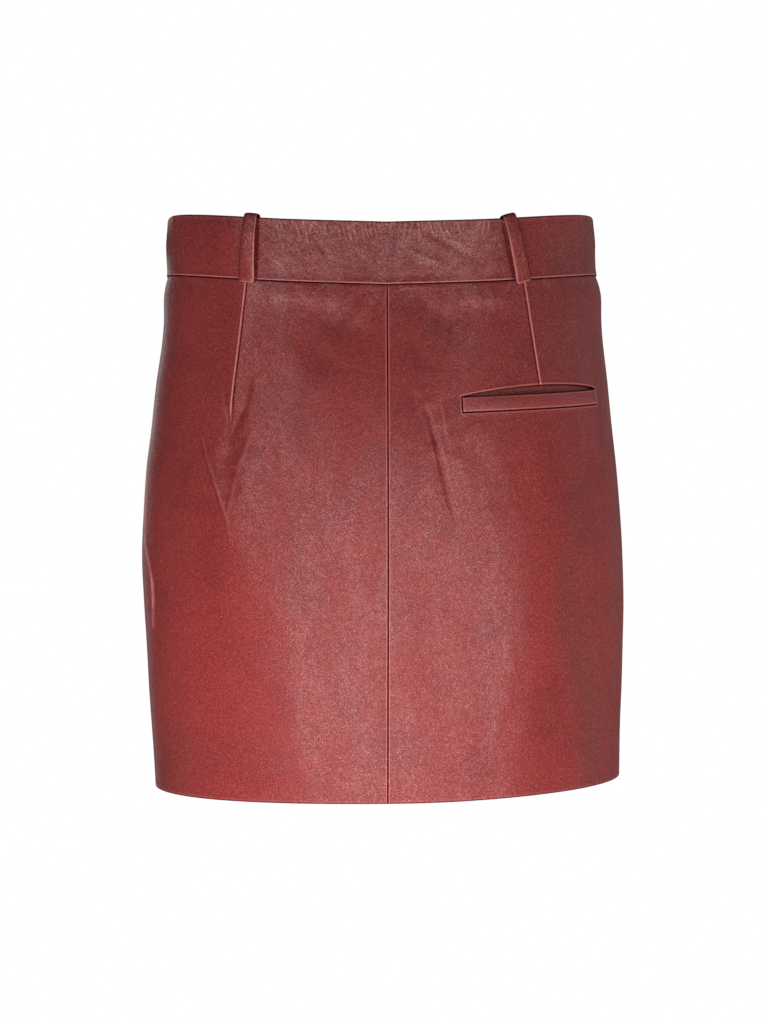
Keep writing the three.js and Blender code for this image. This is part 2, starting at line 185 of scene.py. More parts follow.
@dataclass(frozen=True)
class Dart:
    """A sewn dart, which stands up a little on the side away from the middle of the skirt."""

    angle: float
    foot_angle: float
    foot: float
    outer_side: float
    fades: bool = True

    def places(self, angle: Array, height: Array, form: "Form") -> tuple[Array, Array]:
        """Distance to the outer side of the dart's line, and how much of the dart is left there."""
        top = float(form.seam(self.angle))
        share = (height - top) / (self.foot - top)
        line = self.angle + (self.foot_angle - self.angle) * np.clip(share, 0.0, 1.0)
        outside = (line - angle) * ARC_AT_HIP * -self.outer_side
        left = 1 - smoothstep(share, 0.86, 1.02) if self.fades else (share < 1.02) * 1.0
        return outside, left

    def lift(self, angle: Array, height: Array, form: "Form") -> Array:
        """Gives the dart's groove and the ridge beside it at each place."""
        outside, left = self.places(angle, height, form)
        groove = -0.50 * np.exp(-(((outside + 0.45) / 0.40) ** 2))
        ridge = 0.22 * np.exp(-(((outside - 0.85) / 0.55) ** 2)) + 0.85 * np.exp(-((outside / 10.5) ** 2))
        return (groove + ridge) * left


@dataclass(frozen=True)
class Tint:
    """A cloud of browner or livelier leather: partly uneven tone, partly painted shade and sheen where
    browner and painted light where livelier. Its gloss is more than 0 where the leather is glossier.
    """

    angle: float
    height: float
    across: float
    up: float
    brown: float = 0.0
    lively: float = 0.0
    gloss: float = 0.0

    def strength(self, angle: Array, height: Array) -> Array:
        """Gives 1 in the middle of the cloud, dying away outwards."""
        aside = np.mod(angle - self.angle + 180.0, 360.0) - 180.0
        return np.exp(-((aside / self.across) ** 2) - ((height - self.height) / self.up) ** 2)


@dataclass(frozen=True)
class Fine:
    """A stretch of a grid that needs a finer step."""

    start: float
    end: float
    step: float

    def round_from(self, angle: float) -> "Fine":
        """The same stretch of angles, as millimetres round the skirt from an angle."""
        return Fine((self.start - angle) * ARC_AT_HIP, (self.end - angle) * ARC_AT_HIP, self.step)


SECTIONS = (
    Section(-380, 158.6, 166.6, 121.6, 114.8),
    Section(-330, 161.4, 167.6, 124.0, 115.6),
    Section(-300, 163.4, 168.6, 125.6, 116.2),
    Section(-270, 165.0, 169.2, 127.2, 116.8),
    Section(-240, 166.8, 169.6, 128.6, 117.4),
    Section(-210, 167.8, 168.8, 129.4, 117.6),
    Section(-180, 166.6, 167.0, 129.0, 117.2),
    Section(-150, 164.4, 164.6, 127.2, 116.2),
    Section(-120, 160.6, 161.2, 124.0, 114.4),
    Section(-90, 157.4, 158.0, 119.6, 112.0),
    Section(-60, 153.0, 154.6, 114.4, 109.0),
    Section(-30, 150.4, 152.2, 109.0, 105.4),
    Section(-15, 149.0, 149.6, 106.5, 103.2),
    Section(0, 148.6, 147.4, 105.0, 101.0),
    Section(21, 148.4, 147.0, 103.6, 98.2),
    Section(30, 148.0, 146.5, 103.0, 97.0),
)

BAND_EDGES = (
    BandEdge(0, 21.0, -21.0),
    BandEdge(35, 23.0, -18.8),
    BandEdge(65, 26.4, -15.4),
    BandEdge(80, 26.2, -14.6),
    BandEdge(90, 22.8, -16.0),
    BandEdge(105, 18.6, -21.0),
    BandEdge(140, 12.6, -28.6),
    BandEdge(180, 10.4, -31.0),
)

# The main folds that the solids have too, softer here because the light shows each one
MAIN_FOLDS = (
    Crease(((-55.0, -123), (-45.4, -196)), 0.75, 9),
    Crease(((-40.4, -112), (-45.6, -182)), 0.70, 9),
    Crease(((-47.2, -112), (-46.4, -166)), -0.95, 8),
    Crease(((10.5, -96), (14.1, -123), (17.6, -163)), -0.75, 7),
    Crease(((17.6, -92), (21.5, -150)), 0.45, 9),
    Crease(((-70.0, -150), (-62.0, -206)), -0.5, 12),
    Crease(((61.0, -128), (66.0, -196)), -0.5, 12),
    Crease(((128.0, -128), (132.5, -194)), 0.9, 11),
    Crease(((146.0, -122), (141.0, -176)), 0.9, 11),
    Crease(((214.0, -126), (219.5, -186)), 0.9, 11),
    Crease(((231.0, -130), (226.0, -200)), 1.0, 11),
    Crease(((170.0, -150), (176.0, -236)), -0.7, 14),
)

# Narrow creases, some with a paler line along the top, partly wear and partly painted highlight, and some
# with painted shade along the foot
FINE_CREASES = (
    Crease(((-55.9, -124), (-50.6, -154), (-46.7, -177), (-45.1, -194)), 0.17, 0.9, wear_and_highlight=0.17),
    Crease(((-56.9, -124), (-51.6, -153), (-47.7, -177), (-46.0, -192)), -0.16, 1.0, dark=0.22),
    Crease(((-40.0, -117), (-42.4, -133), (-44.8, -156), (-46.4, -179)), 0.20, 1.5, wear_and_highlight=0.13),
    Crease(((-41.5, -116), (-43.9, -133), (-46.0, -154), (-47.2, -172)), -0.15, 0.8, dark=0.12),
    Crease(((-38.7, -117), (-41.2, -134), (-43.4, -156)), -0.12, 0.8, dark=0.10),
    Crease(((-51.6, -86), (-50.0, -102), (-48.1, -116)), 0.10, 1.1, wear_and_highlight=0.08),
    Crease(((-49.6, -92), (-48.6, -108), (-47.6, -124)), -0.12, 1.1, dark=0.14),
    Crease(((-42.6, -82), (-43.6, -102), (-46.0, -120)), -0.70, 3.2, dark=0.20),
    Crease(((10.9, -97), (14.1, -123), (16.3, -148), (18.0, -167), (19.9, -180)), -0.55, 1.9, dark=0.48),
    Crease(((12.6, -99), (15.7, -122), (18.0, -148), (19.6, -165)), 0.14, 1.0, wear_and_highlight=0.11),
    Crease(((9.6, -104), (12.8, -124), (15.0, -148)), 0.08, 1.3, wear_and_highlight=0.05),
    Crease(((16.6, -98), (17.4, -112), (18.0, -124)), 0.12, 0.8, wear_and_highlight=0.26),
    Crease(((17.3, -100), (18.1, -113)), -0.15, 0.9, dark=0.20),
    Crease(((34.2, -251), (34.6, -282)), -0.16, 0.9, wear_and_highlight=0.15),
    Crease(((-20.6, -249), (-14.0, -268), (-8.0, -284)), 0.22, 3.0),
    Crease(((-25.0, -262), (-17.0, -274)), -0.22, 2.6, dark=0.07),
    Crease(((12.8, -290), (19.0, -276), (25.0, -270)), 0.24, 3.2),
    Crease(((9.0, -300), (15.0, -306)), -0.20, 2.8, dark=0.05),
    # Two ridges down the left side with a strong painted glint along them
    Crease(((-86.0, -96), (-84.6, -150), (-81.6, -196)), 0.30, 4.2, 0.55, wear_and_highlight=0.95),
    Crease(((-80.6, -198), (-75.4, -219), (-74.6, -232), (-75.8, -256)), 0.40, 1.8, 0.55, wear_and_highlight=0.95),
    Crease(((-76.4, -212), (-73.2, -226), (-73.9, -250)), -0.30, 1.2, dark=0.35),
    Crease(((65.4, -352), (66.6, -372)), 0.16, 0.9, wear_and_highlight=0.10),
    Crease(((68.0, -356), (69.0, -371)), -0.14, 0.8),
    # Two ridges near the right side with a painted highlight along them
    Crease(((81.0, -72), (80.5, -96)), 0.30, 1.4, wear_and_highlight=0.35),
    Crease(((79.5, -96), (78.5, -118)), 0.30, 1.4, wear_and_highlight=0.30),
)

# Short wrinkles down from the band's rim, as (angle, length, lean), and a scratched crease below them
RIM_WRINKLES = (
    (-38.6, 6, 0.8), (-37.2, 7, 1.0), (-32.4, 11, 2.0), (-29.5, 14, 1.6), (-26.8, 8, -1.2), (-22.5, 9, 0.8),
    (-18.0, 10, 1.2), (-16.3, 12, 1.6), (-14.5, 13, 1.8), (-12.4, 12, 1.4), (-9.5, 13, 1.6), (-8.1, 10, 1.2),
    (-6.3, 9, 0.8), (-4.8, 9, 1.0), (-3.0, 7, 0.6), (1.5, 6, -0.4), (6.8, 10, -0.6), (9.0, 12, -1.0),
    (11.6, 9, 0.5), (15.6, 8, 1.4), (19.2, 11, 1.8), (20.9, 10, 2.2), (25.5, 7, 1.0), (35.0, 8, -1.0),
    (36.6, 6, -0.6),
)
# Each rim wrinkle is a ridge with a paler line, partly wear and partly painted highlight, beside a trough
# with painted shade
BAND_CREASES = (
    *(
        Crease(((angle, 21.0), (angle + lean, 21.0 - length)), 0.22 + 0.01 * (length % 5), 0.85, 0.55, 0.42)
        for angle, length, lean in RIM_WRINKLES
    ),
    *(
        Crease(((angle + 0.75, 20.5), (angle + lean + 0.75, 21.5 - length)), -0.16, 0.75, 0.55, dark=0.24)
        for angle, length, lean in RIM_WRINKLES
    ),
    Crease(((-42.1, -1.3), (-38.4, -5.6), (-34.6, -12.8)), 0.20, 0.8, wear_and_highlight=0.40),
    Crease(((-41.6, -3.6), (-37.8, -8.2)), -0.20, 0.9, dark=0.20),
    Crease(((-40.8, -6.0), (-38.0, -9.4)), 0.14, 0.7, wear_and_highlight=0.25),
    Crease(((-27.0, 12.0), (-21.0, -2.0), (-19.0, -9.0)), -0.25, 2.6),
    Crease(((-12.0, 4.0), (-8.0, -8.0)), -0.22, 2.4),
    Crease(((14.0, 14.0), (24.0, 4.0), (33.0, -6.0)), -0.30, 2.8, dark=0.08),
    Crease(((8.0, 2.0), (22.0, -9.0)), 0.20, 2.0),
)

# Broad hollows and swells that break up the reflection, a few with painted shade down in the hollow
SWELLS = (
    Crease(((8.1, -26), (16.4, -42), (26.0, -52)), -0.80, 8.0, dark=0.08),
    Crease(((22.0, -30), (33.5, -28), (43.0, -31)), 1.0, 7.5),
    Crease(((16.0, -60), (20.4, -66), (30.0, -62)), 0.40, 10.0),
    Crease(((-45.0, -24), (-30.0, -26), (-14.0, -27)), 0.95, 8.0),
    Crease(((-24.0, -46), (-14.0, -50), (-5.0, -58)), -0.8, 11.0, dark=0.06),
    Crease(((-40.0, -62), (-30.0, -70), (-24.0, -84)), 0.8, 10.0),
    Crease(((-5.4, -27), (-12.7, -48)), 0.34, 4.0),
    Crease(((-10.0, -28), (-16.0, -50)), -0.30, 4.5),
    Crease(((-24.0, -30), (-18.0, -33)), 0.32, 5.0),
    Crease(((-33.0, -64), (-12.0, -76)), -0.40, 12.0),
    Crease(((24.0, -112), (30.0, -128)), 0.40, 9.0),
    Crease(((27.5, -160), (31.0, -188)), 0.45, 8.0),
    Crease(((38.0, -128), (42.0, -176)), -0.40, 9.0),
    Crease(((-37.0, -150), (-28.0, -240), (-22.0, -330)), 0.45, 14.0),
    Crease(((-30.0, -128), (-28.0, -176)), -0.45, 5.0, dark=0.06),
    Crease(((9.0, -60), (11.6, -84), (12.2, -104)), -0.55, 4.5, dark=0.10),
    Crease(((14.4, -74), (16.2, -90), (17.0, -100)), 0.35, 4.0),
    Crease(((-76.0, -196), (-72.5, -222), (-74.0, -252)), -0.25, 3.0),
    Crease(((55.4, -235), (66.5, -369)), -0.7, 9.0),
    Crease(((74.0, -262), (68.0, -340)), 0.5, 8.0),
    Crease(((3.0, -230), (6.0, -262)), 0.25, 8.0),
    Crease(((-62.0, -232), (-58.0, -330)), 0.35, 14.0),
    Crease(((40.0, -300), (28.0, -350)), -0.35, 12.0),
    Crease(((110.0, -200), (118.0, -300)), 0.6, 13.0),
    Crease(((150.0, -230), (160.0, -330)), 0.6, 14.0),
    Crease(((196.0, -60), (204.0, -110)), -0.5, 10.0),
    Crease(((206.0, -220), (196.0, -330)), -0.6, 14.0),
    Crease(((240.0, -240), (248.0, -330)), 0.6, 13.0),
    Crease(((176.0, -50), (172.0, -96)), 0.45, 9.0),
)

# Where the leather is browner, a livelier red, glossier or less glossy; the brown clouds are partly painted
# shade and sheen, the lively red ones partly painted light
TINTS = (
    Tint(-84.0, 4.0, 9.0, 26.0, brown=0.85),
    Tint(-84.0, -42.0, 7.0, 26.0, brown=0.75),
    Tint(-62.0, -52.0, 12.0, 34.0, lively=0.35),
    Tint(-15.0, 10.0, 26.0, 16.0, brown=0.30),
    Tint(64.0, -60.0, 14.0, 42.0, brown=0.72),
    Tint(66.0, 4.0, 14.0, 18.0, brown=0.60),
    Tint(41.0, -152.0, 9.0, 30.0, lively=0.75),
    Tint(56.0, -175.0, 8.0, 44.0, brown=0.35),
    Tint(72.0, -250.0, 8.0, 44.0, lively=0.60),
    Tint(52.0, -236.0, 4.5, 34.0, brown=0.60),
    Tint(57.7, -276.0, 5.0, 34.0, brown=0.60),
    Tint(64.0, -330.0, 5.5, 44.0, brown=0.85),
    Tint(-19.0, -56.0, 13.0, 18.0, brown=0.12),
    Tint(17.0, -60.0, 8.0, 14.0, brown=0.25),
    Tint(44.0, -230.0, 6.0, 60.0, lively=0.55),
    Tint(-58.0, -280.0, 16.0, 60.0, lively=0.60),
    Tint(-40.0, -230.0, 8.0, 34.0, lively=0.55),
    Tint(-86.0, -150.0, 7.0, 60.0, brown=0.45),
    Tint(-2.0, -330.0, 12.0, 24.0, brown=0.20),
    Tint(120.0, -150.0, 14.0, 60.0, brown=0.45),
    Tint(160.0, -250.0, 18.0, 60.0, lively=0.45),
    Tint(200.0, -120.0, 14.0, 50.0, brown=0.35),
    Tint(235.0, -260.0, 16.0, 60.0, lively=0.45),
    Tint(-40.0, -27.0, 12.0, 10.0, gloss=0.50),
    Tint(-38.0, -60.0, 9.0, 30.0, gloss=0.05),
    Tint(33.0, -28.0, 13.0, 10.0, gloss=0.50),
    Tint(-12.0, -70.0, 15.0, 14.0, gloss=-0.55),
    Tint(9.0, -74.0, 10.0, 16.0, gloss=-0.44),
    Tint(-2.0, -200.0, 10.0, 40.0, gloss=0.14),
    Tint(-17.0, -300.0, 8.0, 30.0, gloss=0.28),
    Tint(-15.0, -258.0, 8.0, 26.0, gloss=0.16),
    Tint(19.0, -315.0, 11.0, 30.0, gloss=-0.13),
    Tint(11.0, -150.0, 8.0, 24.0, gloss=0.10),
    Tint(-31.0, -356.0, 7.0, 24.0, gloss=-0.46),
    Tint(-37.0, -322.0, 7.0, 34.0, gloss=-0.46),
    Tint(45.0, -350.0, 7.0, 34.0, gloss=-0.44),
    Tint(-2.0, -335.0, 12.0, 30.0, gloss=0.06),
    Tint(-14.0, 2.0, 14.0, 26.0, gloss=0.22),
    Tint(16.0, 2.0, 16.0, 26.0, gloss=0.50),
    Tint(-68.0, 2.0, 12.0, 22.0, gloss=-0.30),
    Tint(-63.0, -110.0, 9.0, 60.0, gloss=-0.15),
    Tint(-35.0, -292.0, 6.0, 34.0, gloss=-0.22),
    Tint(76.0, -205.0, 8.0, 60.0, brown=0.15, gloss=0.60),
    Tint(160.0, -60.0, 12.0, 30.0, gloss=0.15),
    Tint(205.0, -300.0, 14.0, 50.0, gloss=-0.20),
)

# Where the seat is burnished by wear, as (height, angle of its left side, angle of its right side)
BURNISHED = (
    (-375.0, -22.5, 36.0), (-360.0, -24.0, 37.2), (-348.0, -26.0, 38.0), (-317.0, -30.0, 41.0),
    (-293.0, -33.2, 42.4), (-273.0, -35.5, 43.3), (-247.0, -37.6, 43.0), (-206.0, -40.8, 41.2),
    (-167.0, -43.0, 39.0), (-145.0, -44.0, 37.7), (-118.0, -44.8, 35.0),
)

# The darts: back left, back right, front right and front left. The second ends in the pocket
DARTS = (
    Dart(-47.3, -47.3, -113, -1.0),
    Dart(46.6, 47.7, -89, 1.0, fades=False),
    Dart(137.0, 138.5, -112, -1.0),
    Dart(223.0, 221.5, -116, 1.0),
)


def smoothstep(value: Array, low: float, high: float) -> Array:
    """Rises smoothly from 0 at low to 1 at high."""
    share = np.clip((value - low) / (high - low), 0.0, 1.0)
    return share * share * (3 - 2 * share)


def graded(length: float, coarse: float, fine: float, stretches: Sequence[Fine] = (),
           growth: float = 0.22) -> Array:
    """Spaces places along a length, closer together at its ends and in each fine stretch.

    Args:
        length: The length, in millimetres.
        coarse: The widest step.
        fine: The step at both ends.
        stretches: Stretches of the length that need a finer step.
        growth: How much the step grows for each millimetre away from them.

    Returns:
        Places from 0 to the length.
    """
    dense = np.linspace(0.0, length, int(length / COUNTING_STEP) + 2)
    step = np.minimum(coarse, fine + growth * np.minimum(dense, length - dense))
    for stretch in stretches:
        apart = np.maximum(np.maximum(stretch.start - dense, dense - stretch.end), 0.0)
        step = np.minimum(step, stretch.step + growth * apart)
    count = summed(np.diff(dense) * 2 / (step[1:] + step[:-1]))
    wanted = np.linspace(0.0, count[-1], max(2, int(round(count[-1])) + 1))
    return np.interp(wanted, count, dense)


def summed(steps: Array) -> Array:
    """Adds up steps along a line: the distance at its start and at the end of each step."""
    return np.concatenate([[0.0], np.cumsum(steps)])


def hump(value: Array, middle: float, reach: float) -> Array:
    """A soft hump: 1 at the middle, dying away over the reach."""
    return np.exp(-(((value - middle) / reach) ** 2))


def rolled(distance: Array, radius: float) -> Array:
    """How far a rounded edge falls away from its face, at a distance from the edge."""
    inward = np.clip(1 - distance / radius, 0.0, 1.0)
    return radius * (1 - np.sqrt(1 - inward**2))


class Curve:
    """A smooth curve through the rows of a table."""

    def __init__(self, places: Iterable[float], values: Iterable[float]) -> None:
        """Takes the places, in rising order, and the values there."""
        self.places = np.array(list(places), dtype=float)
        self.values = np.array(list(values), dtype=float)
        slopes = np.empty_like(self.values)
        slopes[1:-1] = (self.values[2:] - self.values[:-2]) / (self.places[2:] - self.places[:-2])
        slopes[0] = (self.values[1] - self.values[0]) / (self.places[1] - self.places[0])
        slopes[-1] = (self.values[-1] - self.values[-2]) / (self.places[-1] - self.places[-2])
        self.slopes = slopes

    def at(self, where: Array) -> Array:
        """Reads the curve at these places, held at its ends."""
        where = np.clip(where, self.places[0], self.places[-1])
        row = np.clip(np.searchsorted(self.places, where) - 1, 0, len(self.places) - 2)
        span = self.places[row + 1] - self.places[row]
        t = (where - self.places[row]) / span
        return (
            (2 * t**3 - 3 * t**2 + 1) * self.values[row]
            + (t**3 - 2 * t**2 + t) * span * self.slopes[row]
            + (3 * t**2 - 2 * t**3) * self.values[row + 1]
            + (t**3 - t**2) * span * self.slopes[row + 1]
        )


class Form:
    """The skirt's plain outer form, before folds, and the lines drawn on it."""

    def __init__(self, sections: Sequence[Section], edges: Sequence[BandEdge]) -> None:
        """Takes the level sections, from the lowest up, and the band's edges from the back round."""
        heights = [section.height for section in sections]
        self.left = Curve(heights, (section.left for section in sections))
        self.right = Curve(heights, (section.right for section in sections))
        self.back = Curve(heights, (section.back for section in sections))
        self.front = Curve(heights, (section.front for section in sections))
        angles = [edge.angle for edge in edges]
        self.rim_curve = Curve(angles, (edge.rim for edge in edges))
        self.seam_curve = Curve(angles, (edge.seam for edge in edges))

    def point(self, angle: Array, height: Array) -> Array:
        """The outer form's points, with x, y and z last."""
        angle, height = np.broadcast_arrays(np.asarray(angle, float), np.asarray(height, float))
        turn = np.radians(angle)
        aside = np.sin(turn)
        ahead = -np.cos(turn)
        half_width = np.where(aside > 0, self.right.at(height), self.left.at(height))
        half_depth = np.where(ahead > 0, self.front.at(height), self.back.at(height))
        fullness = np.abs(aside / half_width) ** SQUARENESS + np.abs(ahead / half_depth) ** SQUARENESS
        reach = fullness ** (-1 / SQUARENESS)
        return np.stack([aside * reach, ahead * reach, height], axis=-1)

    def outward(self, angle: Array, height: Array) -> Array:
        """Unit directions straight out of the form."""
        nudge = 0.1
        around = self.point(np.add(angle, nudge), height) - self.point(np.subtract(angle, nudge), height)
        upward = self.point(angle, np.add(height, nudge)) - self.point(angle, np.subtract(height, nudge))
        normal = np.cross(around, upward)
        return normal / np.linalg.norm(normal, axis=-1, keepdims=True)

    def off(self, angle: Array, height: Array, out: Array) -> Array:
        """Points at a distance out of the form, or inside it where the distance is less than 0."""
        return self.point(angle, height) + self.outward(angle, height) * np.asarray(out)[..., None]

    def arc_per_degree(self, angle: Array, height: Array) -> Array:
        """Millimetres round the skirt for each degree there."""
        step = self.point(np.add(angle, 0.5), height) - self.point(np.subtract(angle, 0.5), height)
        return np.linalg.norm(step, axis=-1)

    @staticmethod
    def from_back(angle: Array) -> Array:
        """The angle from the centre back, either way round."""
        return np.abs(np.mod(np.asarray(angle) + 180, 360) - 180)

    def rim(self, angle: Array) -> Array:
        """Height of the band's top edge."""
        return self.rim_curve.at(self.from_back(angle))

    def seam(self, angle: Array) -> Array:
        """Height of the waist seam."""
        return self.seam_curve.at(self.from_back(angle))

    @staticmethod
    def hem(angle: Array) -> Array:
        """Height of the hem."""
        aside = np.sin(np.radians(angle))
        return HEM_HEIGHT + np.where(aside > 0, HEM_RIGHT_RISE, HEM_LEFT_RISE) * aside**2


def burnished(angle: Array, height: Array) -> Array:
    """1 over the seat, where the leather is burnished, falling off quickly past its two sides."""
    heights, left, right = np.array(BURNISHED).T
    left_side = Curve(heights, left).at(height)
    right_side = Curve(heights, right).at(height)
    waver = 0.8 * np.sin(height / 17.0) + 0.5 * np.sin(height / 7.3 + 1.0)
    past_left = smoothstep(angle - left_side + waver, -2.2, 1.2)
    past_right = smoothstep(right_side - angle + waver, -2.6, 1.6)
    below_darts = smoothstep(-height, 118.0, 150.0)
    return 1 - below_darts * (1 - past_left * past_right)


def tints(angle: Array, height: Array) -> Array:
    """How brown, partly painted shade and sheen, how lively, partly painted light, and how glossy the leather
    is at each place. Half is plain burnished gloss.
    """
    brown = sum(tint.brown * tint.strength(angle, height) for tint in TINTS if tint.brown)
    lively = sum(tint.lively * tint.strength(angle, height) for tint in TINTS if tint.lively)
    gloss = 0.5 + sum(tint.gloss * tint.strength(angle, height) for tint in TINTS if tint.gloss)
    gloss = gloss * (0.50 + 0.50 * burnished(angle, height))
    return np.clip(np.stack([brown, lively, gloss], axis=-1), 0.0, 1.0)


def wear_and_highlight_along(creases: Sequence[Crease], angle: Array, height: Array) -> Array:
    """How much paler the leather is along its creases: partly wear and partly painted highlight."""
    return sum(crease.wear_and_highlight * crease.strength(angle, height) for crease in creases if crease.wear_and_highlight)


def dark_along(creases: Sequence[Crease], angle: Array, height: Array) -> Array:
    """How much painted shade lies down in its creases."""
    return sum(crease.dark * crease.strength(angle, height) for crease in creases if crease.dark)


def dressed(wear_and_highlight: Array, shade: Array, wrinkled: Array) -> Array:
    """How pale from wear and painted highlight, how dark from painted shade and how wrinkled each point is,
    as one row of three shares for each.
    """
    return np.clip(np.stack(np.broadcast_arrays(wear_and_highlight, shade, wrinkled), axis=-1), 0.0, 1.0)


class Relief:
    """What the leather does on the plain form: folds, darts and a soft unevenness."""

    def __init__(self, form: Form) -> None:
        """Takes the form that the relief stands on."""
        self.form = form

    def folds(self, angle: Array, height: Array) -> Array:
        """The rise of the main folds."""
        return sum(fold.lift(angle, height) for fold in MAIN_FOLDS)

    def creases(self, angle: Array, height: Array) -> Array:
        """The rise of the narrow creases and of the broad swells."""
        return sum(crease.lift(angle, height) for crease in (*FINE_CREASES, *SWELLS))

    def soft(self, angle: Array, height: Array) -> Array:
        """Low waves of leather that has been on a wearer and hung, a fraction of a millimetre high."""
        around = np.radians(angle)
        down = height / 100.0
        waves = 0.16 * np.sin(3.1 * around + 1.7 * down + 0.4) * np.sin(2.3 * down + 1.1)
        slanting = np.sin(3.7 * down - 0.6 + 1.3 * np.sin(2 * around))
        waves += 0.12 * np.sin(7.3 * around - 2.9 * down + 2.0) * slanting
        short = np.sin(6.1 * down + 2.2 * np.sin(3 * around + 1))
        waves += 0.07 * np.sin(12.7 * around + 5.1 * down + 0.9) * short
        return waves * smoothstep(-height, 25.0, 90.0)

    def darts(self, angle: Array, height: Array) -> Array:
        """The grooves and ridges of the sewn darts."""
        return sum(dart.lift(angle, height, self.form) for dart in DARTS)


@dataclass
class Grid:
    """Where the points of a wall lie, by column and row."""

    angle: Array
    height: Array
    form: Form

    def lie(self) -> Array:
        """Metres round the skirt and up it, for grain and wrinkles that follow the leather."""
        middle = np.full(self.angle.shape[0], float(np.mean(self.height)))
        steps = np.diff(self.form.point(self.angle[:, 0], middle), axis=0)
        round_skirt = summed(np.linalg.norm(steps, axis=-1))
        around = np.broadcast_to(round_skirt[:, None], self.height.shape)
        return np.stack([around, self.height, np.zeros(self.height.shape)], axis=-1) * MILLIMETRE


class WallMesh:
    """A closed leather wall over a grid of columns and rows, made into one Blender mesh."""

    def __init__(self, name: str, outer: Array, inner: Array, grid: Grid, dress: Array,
                 is_open: Array | None = None, inner_side: Array | None = None) -> None:
        """Takes the grids of points.

        Args:
            name: Name of the piece.
            outer: Points of the outer face in millimetres, by column and row.
            inner: Points of the inner face.
            grid: The points' angles and heights.
            dress: How pale from wear and painted highlight, how dark from painted shade and how wrinkled each
                outer point is.
            is_open: For each cell, whether it is cut through.
            inner_side: For each cell of the inner face, the leather's side that shows there.
        """
        self.name = name
        self.outer = outer
        self.inner = inner
        self.lie = grid.lie()
        self.tint = tints(grid.angle, grid.height)
        self.dress = dress
        columns, rows = outer.shape[:2]
        self.is_open = np.zeros((columns - 1, rows - 1), bool) if is_open is None else is_open
        if inner_side is None:
            inner_side = np.full((columns - 1, rows - 1), Side.FLESH.value)
        self.inner_side = inner_side

    def build(self, materials: Sequence[bpy.types.Material]) -> bpy.types.Object:
        """Makes the mesh object, with the grain side's material first and the flesh side's second."""
        columns, rows = self.outer.shape[:2]
        number = np.arange(columns * rows).reshape(columns, rows)
        shift = columns * rows
        top_left = number[:-1, :-1]
        foot_left = number[:-1, 1:]
        foot_right = number[1:, 1:]
        top_right = number[1:, :-1]
        filled = ~self.is_open
        outer = np.stack([top_left, foot_left, foot_right, top_right], axis=-1)[filled]
        inner = np.stack([top_right, foot_right, foot_left, top_left], axis=-1)[filled] + shift
        padded = np.pad(filled, 1)
        neighbours = (
            (padded[:-2, 1:-1], top_left, foot_left),
            (padded[1:-1, 2:], foot_left, foot_right),
            (padded[2:, 1:-1], foot_right, top_right),
            (padded[1:-1, :-2], top_right, top_left),
        )
        sides = []
        for neighbour, start, end in neighbours:
            edge = filled & ~neighbour
            first, last = start[edge], end[edge]
            sides.append(np.stack([last, first, first + shift, last + shift], axis=-1))
        side_faces = np.concatenate(sides)
        faces = np.concatenate([outer, inner, side_faces])
        looks = np.concatenate([
            np.full(len(outer), Side.GRAIN.value),
            self.inner_side[filled],
            np.full(len(side_faces), Side.GRAIN.value),
        ])
        points = np.concatenate([self.outer.reshape(-1, 3), self.inner.reshape(-1, 3)]) * MILLIMETRE
        lie = np.concatenate([self.lie.reshape(-1, 3), self.lie.reshape(-1, 3)])
        dress = np.concatenate([self.dress.reshape(-1, 3), np.zeros((shift, 3))])
        used = np.zeros(len(points), bool)
        used[faces.ravel()] = True
        renumber = np.cumsum(used) - 1
        tint = np.concatenate([self.tint.reshape(-1, 3), self.tint.reshape(-1, 3)])
        attributes = {"lie": lie[used], "dress": dress[used], "tint": tint[used]}
        return mesh_object(self.name, points[used], renumber[faces], looks, materials, attributes)


def mesh_object(name: str, points: Array, faces: Array, looks: Array | int,
                materials: Sequence[bpy.types.Material],
                attributes: dict[str, Array] | None = None) -> bpy.types.Object:
    """Makes a smooth-shaded mesh object from quads.

    Args:
        name: Name of the object.
        points: Points in metres.
        faces: Four point numbers for each face.
        looks: The material's number for each face, or one for all.
        materials: The materials.
        attributes: Three values for each point, by name.

    Returns:
        The object, in the scene at the origin.
    """
    mesh = bpy.data.meshes.new(name)
    mesh.vertices.add(len(points))
    mesh.vertices.foreach_set("co", points.astype(np.float32).ravel())
    mesh.loops.add(faces.size)
    mesh.loops.foreach_set("vertex_index", faces.astype(np.int32).ravel())
    mesh.polygons.add(len(faces))
    mesh.polygons.foreach_set("loop_start", np.arange(len(faces), dtype=np.int32) * faces.shape[1])
    for material in materials:
        mesh.materials.append(material)
    look_numbers = np.broadcast_to(np.asarray(looks, np.int32), (len(faces),))
    mesh.polygons.foreach_set("material_index", np.ascontiguousarray(look_numbers))
    mesh.update(calc_edges=True)
    for label, values in (attributes or {}).items():
        layer = mesh.attributes.new(label, "FLOAT_VECTOR", "POINT")
        layer.data.foreach_set("vector", values.astype(np.float32).ravel())
    mesh.validate()
    mesh.polygons.foreach_set("use_smooth", np.ones(len(mesh.polygons), bool))
    piece = bpy.data.objects.new(name, mesh)
    bpy.context.scene.collection.objects.link(piece)
    return piece


